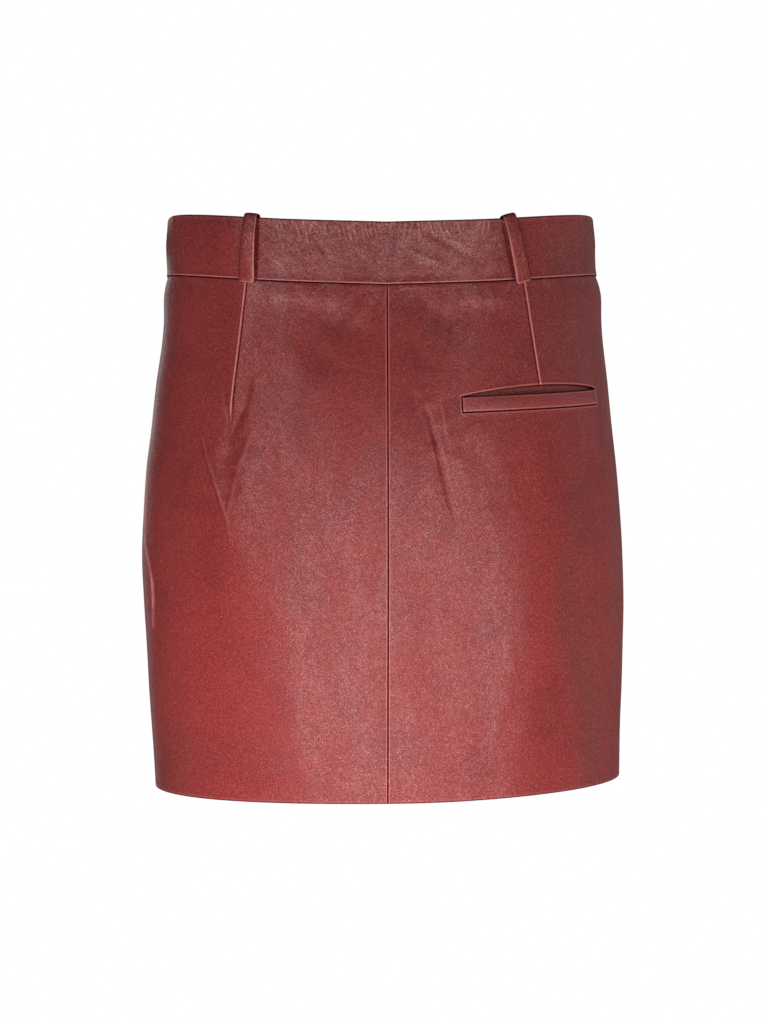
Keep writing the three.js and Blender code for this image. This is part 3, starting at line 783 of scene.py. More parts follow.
class Signal:
    """A shader value that can be used in sums and products like a number."""

    def __init__(self, recipe: "Recipe", socket: bpy.types.NodeSocket) -> None:
        """Takes the recipe that adds its nodes, and the socket that gives the value."""
        self.recipe = recipe
        self.socket = socket

    def _math(self, operation: str, first: "Signal | float", second: "Signal | float") -> "Signal":
        """Adds one Math node."""
        node = self.recipe.add("ShaderNodeMath", {0: first, 1: second}, operation=operation)
        return Signal(self.recipe, node.outputs[0])

    def __add__(self, other: "Signal | float") -> "Signal":
        """Adds."""
        return self._math("ADD", self, other)

    __radd__ = __add__

    def __mul__(self, other: "Signal | float") -> "Signal":
        """Multiplies."""
        return self._math("MULTIPLY", self, other)

    __rmul__ = __mul__

    def __sub__(self, other: "Signal | float") -> "Signal":
        """Subtracts a value from this one."""
        return self._math("SUBTRACT", self, other)

    def __rsub__(self, other: "Signal | float") -> "Signal":
        """Subtracts this one from a value."""
        return self._math("SUBTRACT", other, self)

    def __truediv__(self, other: "Signal | float") -> "Signal":
        """Divides this one by a value."""
        return self._math("DIVIDE", self, other)

    def at_most(self, limit: float) -> "Signal":
        """Holds this one down to a limit."""
        return self._math("MINIMUM", self, limit)

    def apart_from(self, level: float) -> "Signal":
        """How far this one is from a level, either way."""
        return self._math("ABSOLUTE", self - level, 0.0)

    def ramp(self, low: float, high: float, start: float = 0.0, end: float = 1.0) -> "Signal":
        """Goes smoothly from start to end as this one goes from low to high."""
        node = self.recipe.add(
            "ShaderNodeMapRange",
            {"Value": self, "From Min": low, "From Max": high, "To Min": start, "To Max": end},
            interpolation_type="SMOOTHSTEP",
        )
        return Signal(self.recipe, node.outputs["Result"])


class Recipe:
    """Builds one node tree."""

    def __init__(self, tree: bpy.types.NodeTree) -> None:
        """Takes the tree to build."""
        self.tree = tree

    def add(self, kind: str, sockets: dict | None = None, stops: Sequence[tuple] = (),
            **settings) -> bpy.types.Node:
        """Adds a node.

        Args:
            kind: The node's type.
            sockets: Values, signals or sockets for its inputs, by name or number.
            stops: Places and colours of a ramp's stops.
            **settings: The node's own settings, which are set first.

        Returns:
            The node.
        """
        node = self.tree.nodes.new(kind)
        for name, value in settings.items():
            setattr(node, name, value)
        if stops:
            elements = node.color_ramp.elements
            while len(elements) < len(stops):
                elements.new(1.0)
            for element, (place, colour) in zip(elements, stops):
                element.position = place
                element.color = (*colour, 1.0)
        for name, value in (sockets or {}).items():
            self.feed(node.inputs[name], value)
        return node

    def feed(self, socket: bpy.types.NodeSocket, value: object) -> None:
        """Links a signal or socket to an input, or sets the input's own value."""
        if isinstance(value, Signal):
            value = value.socket
        if isinstance(value, bpy.types.NodeSocket):
            self.tree.links.new(value, socket)
        elif isinstance(value, tuple) and len(socket.default_value) == 4:
            socket.default_value = (*value, 1.0)
        else:
            socket.default_value = value

    def signal(self, node: bpy.types.Node, output: str | int = 0) -> Signal:
        """One of a node's outputs as a signal."""
        return Signal(self, node.outputs[output])

    def place(self) -> bpy.types.NodeSocket:
        """The piece's own coordinates, in metres."""
        return self.add("ShaderNodeTexCoord").outputs["Object"]

    def attribute(self, name: str) -> bpy.types.NodeSocket:
        """One of the mesh's attributes."""
        return self.add("ShaderNodeAttribute", attribute_name=name).outputs["Vector"]

    def parts(self, vector: bpy.types.NodeSocket) -> tuple[Signal, Signal, Signal]:
        """A vector's three parts."""
        node = self.add("ShaderNodeSeparateXYZ", {0: vector})
        return self.signal(node, 0), self.signal(node, 1), self.signal(node, 2)

    def vector(self, operation: str, first: object, second: object) -> bpy.types.NodeSocket:
        """A sum or product of two vectors."""
        return self.add("ShaderNodeVectorMath", {0: first, 1: second}, operation=operation).outputs[0]

    def scaled(self, vector: object, factor: object) -> bpy.types.NodeSocket:
        """A vector made longer or shorter."""
        return self.add("ShaderNodeVectorMath", {0: vector, "Scale": factor}, operation="SCALE").outputs[0]

    def noise(self, where: object, size: float, detail: float = 3.0, roughness: float = 0.5,
              distortion: float = 0.0) -> Signal:
        """Soft noise whose blots are about size millimetres across."""
        node = self.add(
            "ShaderNodeTexNoise",
            {"Vector": where, "Scale": 1 / (size * MILLIMETRE), "Detail": detail, "Roughness": roughness,
             "Distortion": distortion},
        )
        return self.signal(node, "Fac")

    def mix(self, share: object, first: object, second: object) -> bpy.types.NodeSocket:
        """Mixes two colours."""
        node = self.add("ShaderNodeMix", data_type="RGBA")
        self.feed(node.inputs[0], share)
        self.feed(node.inputs[6], first)
        self.feed(node.inputs[7], second)
        return node.outputs[2]


def blank_material(name: str) -> tuple[bpy.types.Material, Recipe]:
    """A new material with no nodes in it, and the recipe that fills it."""
    material = bpy.data.materials.new(name)
    material.use_nodes = True
    material.node_tree.nodes.clear()
    return material, Recipe(material.node_tree)


class Skin:
    """The patterns that one leather's height, colour and gloss are mixed from."""

    def __init__(self, recipe: Recipe, grain: float) -> None:
        """Adds the nodes of every pattern.

        Args:
            recipe: The recipe of the leather's material.
            grain: Width of a grain cell, in millimetres.
        """
        where = recipe.place()
        bent = self._bent(recipe, where)
        # Pale lines, partly wear and partly painted highlight, then painted shade, then how wrinkled the
        # leather is
        self.wear_and_highlight, self.shade, self.wrinkled = recipe.parts(recipe.attribute("dress"))
        # Brown clouds, partly painted shade and sheen; lively red clouds, partly painted light; then gloss
        self.browned, self.livened, self.glossed = recipe.parts(recipe.attribute("tint"))
        self.cells = self._cells(recipe, bent, grain, 0.30)
        self.net = self._cells(recipe, bent, grain * 3.1, 0.10)
        self.fine = recipe.noise(where, 1.0, 1.0, 0.6)
        self.pebble = recipe.noise(bent, 1.7, 1.0, 0.5)
        self.soft = recipe.noise(where, 7.5, 4.0, 0.55, 0.8)
        self.creases = self._creases(recipe, where, 8.0, 0.040)
        self.clouds = recipe.noise(where, 38.0, 4.0, 0.6, 0.4)
        self.patches = recipe.noise(where, 105.0, 2.0, 0.5, 0.6)
        self.worked = recipe.noise(where, 15.0, 3.0, 0.6, 0.6).ramp(0.44, 0.58)
        self.streaks = self._streaks(recipe)
        self.drawn = self._drawn(recipe) * self.wrinkled.ramp(0.60, 1.0)
        cracks = self._creases(recipe, bent, 3.8, 0.034)
        self.cracked = cracks * self.worked * self.wrinkled.ramp(0.25, 0.65)

    @staticmethod
    def _bent(recipe: Recipe, where: bpy.types.NodeSocket) -> bpy.types.NodeSocket:
        """Coordinates pushed about a little, so that the grain isn't regular."""
        wobble = recipe.add(
            "ShaderNodeTexNoise", {"Vector": where, "Scale": 1 / (4.0 * MILLIMETRE), "Detail": 3.0})
        centred = recipe.vector("SUBTRACT", wobble.outputs["Color"], (0.5, 0.5, 0.5))
        scaled = recipe.vector("MULTIPLY", centred, (0.004, 0.004, 0.004))
        return recipe.vector("ADD", where, scaled)

    @staticmethod
    def _cells(recipe: Recipe, where: bpy.types.NodeSocket, size: float, width: float) -> Signal:
        """Grain cells: 1 on each cell's crown and 0 in the creases between them."""
        node = recipe.add(
            "ShaderNodeTexVoronoi",
            {"Vector": where, "Scale": 1 / (size * MILLIMETRE), "Randomness": 1.0},
            feature="DISTANCE_TO_EDGE",
        )
        return recipe.signal(node, "Distance").ramp(0.0, width)

    @staticmethod
    def _creases(recipe: Recipe, where: bpy.types.NodeSocket, size: float, width: float) -> Signal:
        """Thin crooked lines where the leather has bent: 1 on the line."""
        return recipe.noise(where, size, 5.0, 0.62, 1.2).apart_from(0.5).ramp(width, 0.0)

    @staticmethod
    def _streaks(recipe: Recipe) -> Signal:
        """Long upright clouds in which the leather is glossier: about 1 on average."""
        stretched = recipe.vector("MULTIPLY", recipe.attribute("lie"), (52.0, 13.0, 1.0))
        return recipe.noise(stretched, METRE, 3.0, 0.5, 0.6).ramp(0.36, 0.64, 0.68, 1.30)

    @staticmethod
    def _drawn(recipe: Recipe) -> Signal:
        """Short upright wrinkles, where the leather is drawn in by sewing."""
        stretched = recipe.vector("MULTIPLY", recipe.attribute("lie"), (170.0, 55.0, 1.0))
        return recipe.noise(stretched, METRE, 1.0, 0.5, 1.0).apart_from(0.5).ramp(0.06, 0.0)


@dataclass(frozen=True)
class Leather:
    """Smooth nappa: fine grain cells, hair creases between them and a soft gloss.

    Colours are linear.
    """

    name: str = "oxblood_nappa"
    colour: tuple[float, float, float] = (0.315, 0.036, 0.035)
    # Livelier red, for random clouds and for the lively clouds, which are partly painted light
    lively: tuple[float, float, float] = (0.380, 0.046, 0.039)
    deep: tuple[float, float, float] = (0.185, 0.021, 0.023)
    # Brown, for random patches and for the brown clouds, which are partly painted shade and sheen
    brown: tuple[float, float, float] = (0.205, 0.051, 0.040)
    # Tan for wrinkled leather: partly paler from rubbing and partly a painted highlight
    rubbed_and_highlit: tuple[float, float, float] = (0.380, 0.130, 0.102)
    # Pale pink for lines, specks and cracks: partly wear and partly painted highlight
    wear_and_highlight: tuple[float, float, float] = (0.780, 0.255, 0.235)
    # Colour of the painted shade in seams, grooves and crease troughs
    groove: tuple[float, float, float] = (0.085, 0.004, 0.007)
    furrow: tuple[float, float, float] = (0.085, 0.007, 0.010)
    roughness: float = 0.25
    grain: float = 1.45
    grain_depth: float = 0.060
    gloss: float = 0.95
    gloss_roughness: float = 0.19
    refraction: float = 1.45
    shine: float = 0.26

    def material(self) -> bpy.types.Material:
        """Makes the material."""
        material, recipe = blank_material(self.name)
        skin = Skin(recipe, self.grain)
        bump = recipe.add(
            "ShaderNodeBump", {"Strength": 1.0, "Distance": MILLIMETRE, "Height": self._height(skin)})
        rough = self.roughness + (skin.clouds - 0.5) * 0.08 + (skin.pebble - 0.5) * 0.15 + skin.shade * 0.35
        # Metallic follows the painted shade, so that the painted shade reflects dark red rather than grey
        shader = recipe.add(
            "ShaderNodeBsdfPrincipled",
            {"Base Color": self._tone(recipe, skin), "Roughness": rough, "Normal": bump.outputs[0],
             "Coat Weight": self._gloss(recipe, skin), "Coat Roughness": self.gloss_roughness,
             "IOR": self.refraction, "Specular IOR Level": self.shine, "Metallic": skin.shade * 0.85},
        )
        recipe.add("ShaderNodeOutputMaterial", {"Surface": shader.outputs[0]})
        return material

    def _height(self, skin: Skin) -> Signal:
        """How high the grain stands, in millimetres."""
        height = skin.cells * self.grain_depth
        height = height + (skin.fine + skin.pebble) * (self.grain_depth * 0.9)
        height = height + skin.soft * (0.10 + skin.wrinkled * 0.24)
        height = height - (1 - skin.net) * (skin.wrinkled * skin.wrinkled * 0.22)
        height = height - skin.creases * (0.02 + skin.wrinkled * 0.18)
        return height - skin.drawn * 0.16 - skin.cracked * 0.20

    def _tone(self, recipe: Recipe, skin: Skin) -> bpy.types.NodeSocket:
        """The leather's colour: the plain one with other colours laid over it, one after another, some of
        them painted highlight and painted shade.
        """
        layers = (
            (skin.clouds.ramp(0.42, 0.66) * 0.55, self.lively),
            (skin.clouds.ramp(0.48, 0.30) * 0.45, self.deep),
            (skin.patches.ramp(0.54, 0.70) * 0.35, self.brown),
            (skin.livened, self.lively),
            (skin.browned, self.brown),
            # Tan on wrinkled leather: partly paler from rubbing and partly a painted highlight
            (skin.wrinkled.ramp(0.35, 1.0) * (0.34 + skin.worked * 0.46), self.rubbed_and_highlit),
            ((1 - skin.cells) * (0.52 + skin.wrinkled * 0.20), self.furrow),
            (skin.fine.ramp(0.50, 0.32) * 0.55, self.deep),
            # Pale specks: painted glints on the grain
            (skin.fine.ramp(0.52, 0.72) * 0.13, self.wear_and_highlight),
            (skin.creases * (0.08 + skin.wrinkled * 0.25), self.deep),
            # Paler cracks and drawn wrinkles: partly wear and partly painted highlight
            (skin.cracked * 0.80 + skin.drawn * 0.24, self.wear_and_highlight),
            # Pale lines along edges and ridges: partly wear and partly painted highlight
            (skin.wear_and_highlight * 0.90, self.wear_and_highlight),
            # Painted shade in seams, grooves, crease troughs and under parts
            (skin.shade * 0.96, self.groove),
        )
        tone = self.colour
        for share, colour in layers:
            tone = recipe.mix(share, tone, colour)
        return tone

    def _gloss(self, recipe: Recipe, skin: Skin) -> Signal:
        """How glossy the leather is: less so in furrows and creases, and where it turns away."""
        gloss = (skin.fine.ramp(0.36, 0.62) * 0.50 + 0.42) * (skin.cells * 0.8 + 0.2)
        gloss = gloss * skin.streaks * skin.glossed * (2 * self.gloss)
        gloss = gloss * (1 - skin.shade) * (1 - skin.creases * 0.4)
        gloss = gloss * skin.soft.ramp(0.38, 0.62, 0.80, 1.20)
        turned_away = recipe.signal(recipe.add("ShaderNodeLayerWeight", {"Blend": 0.5}), "Facing")
        return (gloss * turned_away.ramp(0.76, 0.98, 1.0, 0.16)).at_most(1.0)


@dataclass(frozen=True)
class Flesh:
    """The leather's napped inner side, paler and matt. Colours are linear."""

    name: str = "flesh_side"
    colour: tuple[float, float, float] = (0.30, 0.105, 0.085)
    dark: tuple[float, float, float] = (0.20, 0.060, 0.050)

    def material(self) -> bpy.types.Material:
        """Makes the material."""
        material, recipe = blank_material(self.name)
        where = recipe.place()
        nap = recipe.noise(where, 0.8, 6.0, 0.7)
        brushed = recipe.noise(where, 30.0, 4.0, 0.6)
        tone = recipe.mix(nap.ramp(0.3, 0.7), self.dark, self.colour)
        tone = recipe.mix(brushed.ramp(0.4, 0.7) * 0.4, tone, self.dark)
        bump = recipe.add("ShaderNodeBump", {"Strength": 0.6, "Distance": 0.0003, "Height": nap})
        shader = recipe.add(
            "ShaderNodeBsdfPrincipled",
            {"Base Color": tone, "Roughness": 0.92, "Normal": bump.outputs[0], "Sheen Weight": 0.25,
             "Specular IOR Level": 0.25},
        )
        recipe.add("ShaderNodeOutputMaterial", {"Surface": shader.outputs[0]})
        return material


@dataclass
class Cloth:
    """What every leather piece is made with."""

    form: Form
    relief: Relief
    grain: bpy.types.Material
    flesh: bpy.types.Material

    def finish(self, piece: bpy.types.Object, nodes: Sequence[str],
               slot: str = "leather") -> bpy.types.Object:
        """Puts a finished piece on the skirt in the place of its solids."""
        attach(piece, "root")
        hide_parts(*nodes)
        triangles = sum(len(polygon.vertices) - 2 for polygon in piece.data.polygons)
        log.info("%s: %d triangles", piece.name, triangles)
        return piece


class PocketLines:
    """The lines of the pocket's cut."""

    @staticmethod
    def along(angle: Array) -> Array:
        """Share of the way along the pocket."""
        return np.clip((np.asarray(angle) - POCKET_FROM) / (POCKET_TO - POCKET_FROM), 0.0, 1.0)

    @classmethod
    def welt_top(cls, angle: Array) -> Array:
        """Height of the welt's top edge."""
        return WELT_TOP_FROM + (WELT_TOP_TO - WELT_TOP_FROM) * cls.along(angle)

    @classmethod
    def lip(cls, angle: Array) -> Array:
        """Height of the panel's edge over the mouth."""
        bow = np.sin(np.pi * cls.along(angle) ** 1.15)
        return cls.welt_top(angle) + SEAM_GAP + MOUTH_OPENING * np.abs(bow) ** 0.7

    @classmethod
    def foot(cls, angle: Array) -> Array:
        """Height of the cut's lower edge, under the welt."""
        return cls.welt_top(angle) - WELT_HEIGHT - SEAM_GAP


@dataclass
class Panel:
    """One panel of the skirt, from seam to seam and from the waist seam to the hem."""

    node: str
    start: float
    end: float
    columns: tuple[Fine, ...]
    rows: tuple[Fine, ...]
    cloth: Cloth
    has_pocket: bool = False
    coarse: float = 2.5
    edge_radius: float = 0.6
    half_gap: float = 0.03
    flat: tuple[float, float] = (0.24, 0.40)
    hangs_from: str = "leather_waistband_back"

    def build(self) -> bpy.types.Object:
        angles = self._columns()
        heights, lip_row, foot_row = self._heights(angles)
        angle = np.broadcast_to(angles[:, None], heights.shape)
        form = self.cloth.form
        out, inner = self._relief(angle, heights)
        is_open = np.zeros((len(angles) - 1, heights.shape[1] - 1), bool)
        if self.has_pocket:
            middle = (angles[:-1] + angles[1:]) / 2
            inside = (middle > POCKET_FROM) & (middle < POCKET_TO)
            is_open[inside, lip_row:foot_row] = True
        shows_grain = self._folded_share(angle, heights) > 0.5
        side = np.where(shows_grain[:-1, :-1], Side.GRAIN.value, Side.FLESH.value)
        wall = WallMesh(
            "leather_" + self.node, form.off(angle, heights, out), form.off(angle, heights, inner),
            Grid(angle, heights, form), self._dress(angle, heights), is_open, side,
        )
        piece = wall.build([self.cloth.grain, self.cloth.flesh])
        self.cloth.finish(piece, [self.node])
        return piece

    def _columns(self) -> Array:
        """Angles of the columns, close together at seams, darts and the pocket's ends."""
        half_gap = self.half_gap / ARC_AT_HIP
        stops = [self.start + half_gap, self.end - half_gap]
        if self.has_pocket:
            stops[1:1] = [POCKET_FROM, POCKET_TO]
        pieces = []
        for start, end in zip(stops[:-1], stops[1:]):
            stretches = [fine.round_from(start) for fine in self.columns]
            places = graded((end - start) * ARC_AT_HIP, self.coarse, 0.20, stretches)
            pieces.append(start + places / ARC_AT_HIP)
        return np.concatenate([pieces[0], *(piece[1:] for piece in pieces[1:])])

    def _heights(self, angles: Array) -> tuple[Array, int, int]:
        """Heights of each column's points, and the rows of the pocket's lip and foot."""
        form = self.cloth.form
        top = form.seam(angles) - self.half_gap
        lip = PocketLines.lip(angles)
        foot = PocketLines.foot(angles)
        hem = form.hem(angles)
        parts = []
        for upper, lower in ((top, lip), (lip, foot), (foot, hem)):
            length = float(np.mean(upper - lower))
            start = float(np.mean(upper))
            stretches = [Fine(start - fine.start, start - fine.end, fine.step) for fine in self.rows]
            share = graded(length, self.coarse, 0.25, stretches) / length
            parts.append(upper[:, None] + (lower - upper)[:, None] * share[None, :])
        heights = np.concatenate([parts[0], parts[1][:, 1:], parts[2][:, 1:]], axis=1)
        lip_row = parts[0].shape[1] - 1
        return heights, lip_row, lip_row + parts[1].shape[1] - 1

    def _edge_distances(self, angle: Array, height: Array) -> tuple[Array, Array, Array]:
        """Distances from the side seams, from the waist seam and from the hem."""
        scale = self.cloth.form.arc_per_degree(angle, height)
        side = np.minimum(angle - self.start, self.end - angle) * scale - self.half_gap
        top = self.cloth.form.seam(angle) - height - self.half_gap
        hem = height - self.cloth.form.hem(angle)
        return np.maximum(side, 0), np.maximum(top, 0), np.maximum(hem, 0)

    def _pocket_distance(self, angle: Array, height: Array) -> Array:
        """Distance from the pocket's cut."""
        scale = self.cloth.form.arc_per_degree(angle, height)
        aside = np.maximum(np.maximum(POCKET_FROM - angle, angle - POCKET_TO), 0) * scale
        above = np.maximum(height - PocketLines.lip(angle), 0)
        below = np.maximum(PocketLines.foot(angle) - height, 0)
        return np.hypot(aside, above + below)

    def _relief(self, angle: Array, height: Array) -> tuple[Array, Array]:
        """How far the outer and the inner face stand off the form."""
        relief = self.cloth.relief
        side, top, hem = self._edge_distances(angle, height)
        broad = relief.folds(angle, height) + relief.soft(angle, height)
        pressed = 0.14 * hump(side, 1.5, 1.0) + 0.12 * hump(top, 2.4, 1.5)
        pressed = pressed - 0.08 * hump(side, 9.5, 2.5)
        pressed = pressed + self._puckers(angle, top)
        out = broad + relief.creases(angle, height) + relief.darts(angle, height) + pressed
        out = out - rolled(side, 0.55) - rolled(top, 0.8) - rolled(hem, self.edge_radius)
        near_side = hump(Form.from_back(angle), 90.0, 9.0)
        out = out + near_side * (1.4 * hump(top, 13.0, 12.0) - 0.8 * hump(top, 0.0, 3.0))
        if self.has_pocket:
            pocket = self._pocket_distance(angle, height)
            out = out + 0.16 * hump(pocket, 1.3, 1.0) - rolled(pocket, 0.5)
        depth = WALL + FOLDED_UNDER * self._folded_share(angle, height)
        return out, broad - depth

    @staticmethod
    def _puckers(angle: Array, top: Array) -> Array:
        """Small puckers under the waist seam."""
        turn = np.radians(angle)
        wave = np.sin(57 * turn + 1.7 * np.sin(13 * turn)) * (0.6 + 0.4 * np.sin(9 * turn + 1.0))
        return 0.10 * wave * np.exp(-top / 7.0)

    def _dress(self, angle: Array, height: Array) -> Array:
        """How pale from wear and painted highlight, how dark from painted shade and how wrinkled the leather
        is.
        """
        side, top, hem = self._edge_distances(angle, height)
        # Pale lines beside the seams and at the hem: partly wear and partly painted highlight
        wear_and_highlight = 0.50 * hump(side, 0.90, 0.32) + 0.12 * hump(hem, 1.5, 0.5)
        wear_and_highlight = wear_and_highlight + wear_and_highlight_along(FINE_CREASES, angle, height)
        # Painted shade along the seams, the waist seam and the hem
        shade = 3 - smoothstep(side, 0.28, 0.66) - smoothstep(top, 0.50, 1.15) - smoothstep(hem, 0.35, 0.95)
        shade = shade + dark_along((*FINE_CREASES, *SWELLS), angle, height)
        for dart in DARTS:
            outside, left = dart.places(angle, height, self.cloth.form)
            # A paler line on each dart's ridge, partly wear and partly painted highlight, and painted shade
            # in its groove
            wear_and_highlight = wear_and_highlight + 1.1 * hump(outside, 0.85, 0.50) * left
            shade = shade + 1.2 * hump(outside, -0.50, 0.52) * left
        if self.has_pocket:
            pocket = self._pocket_distance(angle, height)
            # A paler line along the pocket's lip, partly wear and partly painted highlight, and painted shade
            # at its cut edge
            wear_and_highlight = wear_and_highlight + 0.55 * hump(pocket, 0.85, 0.36) * (pocket > 0.01)
            shade = shade + 1 - smoothstep(pocket, 0.15, 0.50)
        near_back = smoothstep(-Form.from_back(angle), -70.0, -20.0)
        wrinkled = 0.10 + 0.30 * np.exp(-top / 20.0) + 0.22 * near_back * np.exp(-top / 90.0)
        return dressed(wear_and_highlight, shade, wrinkled)

    def _folded_share(self, angle: Array, height: Array) -> Array:
        """1 where the leather is folded back inside, at the seams and the hem, and 0 elsewhere."""
        side, _, hem = self._edge_distances(angle, height)
        at_side = 1 - smoothstep(side, ALLOWANCE - 0.5, ALLOWANCE + 0.5)
        at_hem = 1 - smoothstep(hem, HEM_TURN_UP - 0.6, HEM_TURN_UP + 0.6)
        return np.maximum(at_side, at_hem)


@dataclass
class Waistband:
    """A straight band of folded leather over one half of the skirt."""

    node: str
    start: float
    end: float
    cloth: Cloth
    proud: float = 0.6
    coarse: float = 1.3
    half_gap: float = 0.03
    flat: tuple[float, float] = (0.43, 0.044)
    columns: tuple[Fine, ...] = ()
    creases: tuple[Crease, ...] = ()
    loops: tuple["BeltLoop", ...] = ()

    def build(self) -> bpy.types.Object:
        """Builds the band."""
        form = self.cloth.form
        stretches = [fine.round_from(self.start) for fine in self.columns]
        places = graded((self.end - self.start) * ARC_AT_HIP, self.coarse, 0.22, stretches)
        half_gap = self.half_gap / ARC_AT_HIP
        angles = self.start + half_gap + (self.end - self.start - 2 * half_gap) * places / places[-1]
        share = graded(BAND_HEIGHT, 1.1, 0.2) / BAND_HEIGHT
        rim = form.rim(angles)[:, None]
        seam = form.seam(angles)[:, None] + self.half_gap
        height = rim + (seam - rim) * share[None, :]
        angle = np.broadcast_to(angles[:, None], height.shape)
        scale = form.arc_per_degree(angle, height)
        side = np.maximum(np.minimum(angle - self.start, self.end - angle) * scale - self.half_gap, 0)
        below_rim = rim - height
        above_seam = height - seam
        out = self.proud + self._swell(angle, below_rim, above_seam)
        out = out + sum(crease.lift(angle, height) for crease in self.creases)
        edge = rolled(below_rim, 1.0) + rolled(above_seam, 0.5) + rolled(side, 0.6)
        inner = -WALL + rolled(below_rim, 1.0)
        wall = WallMesh(
            "leather_" + self.node, form.off(angle, height, out - edge), form.off(angle, height, inner),
            Grid(angle, height, form), self._dress(angle, height, side, below_rim, above_seam),
            inner_side=np.full((len(angles) - 1, height.shape[1] - 1), Side.GRAIN.value),
        )
        piece = wall.build([self.cloth.grain, self.cloth.flesh])
        return self.cloth.finish(piece, [self.node])

    @staticmethod
    def _swell(angle: Array, below_rim: Array, above_seam: Array) -> Array:
        """How the band swells: a full middle, a turned lower edge that stands up, small puckers."""
        turn = np.radians(angle)
        middle = 0.35 * np.sin(np.pi * np.clip(below_rim / (below_rim + above_seam), 0, 1))
        turned = 0.10 * hump(above_seam, 1.1, 0.9) - 0.06 * hump(above_seam, 4.5, 2.2)
        low = np.sin(61 * turn + 1.3 * np.sin(17 * turn)) * (0.5 + 0.5 * np.sin(23 * turn + 0.5))
        high = np.sin(89 * turn + 2.4 * np.sin(11 * turn)) * (0.5 + 0.5 * np.sin(19 * turn + 2.0))
        corner = hump(Form.from_back(angle), 84.0, 5.0)
        puckers = 0.10 * low * np.exp(-above_seam / 6.0) + 0.15 * high * np.exp(-below_rim / 8.0)
        bulge = 0.9 * corner * np.sin(np.pi * np.clip(below_rim / (below_rim + above_seam), 0, 1)) ** 2
        crumple = 0.35 * corner * np.sin(150 * turn + below_rim / 3.0)
        return middle + turned + puckers + bulge + crumple * hump(below_rim, 16.0, 12.0)

    def _dress(self, angle: Array, height: Array, side: Array, below_rim: Array, above_seam: Array) -> Array:
        """How pale from wear and painted highlight, how dark from painted shade and how wrinkled the leather
        is.
        """
        # Pale lines at the turned lower edge, under the rim and at the ends: partly wear and partly painted
        # highlight
        wear_and_highlight = 0.78 * hump(above_seam, 0.50, 0.28) + 0.12 * hump(below_rim, 1.9, 0.7)
        wear_and_highlight = wear_and_highlight + 0.4 * hump(side, 0.7, 0.4) + wear_and_highlight_along(self.creases, angle, height)
        # Painted shade along the waist seam, at the band's ends, in its creases and along its rim
        shade = 1 - smoothstep(above_seam, 0.05, 0.28) + 0.8 * hump(side, 0.0, 0.3)
        shade = shade + dark_along(self.creases, angle, height) + 0.9 * (1 - smoothstep(below_rim, 0.35, 1.0))
        # Painted shadows on the band beside each belt loop
        shade = shade + sum(0.60 * hump(loop.beside(angle, height), 0.2, 0.75) for loop in self.loops)
        # More wrinkled in the middle, where the tan colour, partly a painted highlight, is laid on
        centre = smoothstep(-Form.from_back(angle), -50.0, -34.0)
        wrinkled = 0.20 + centre * (0.42 + 0.38 * np.exp(-below_rim / 10.0)) + 0.10 * np.exp(-below_rim / 6.0)
        return dressed(wear_and_highlight, shade, wrinkled)


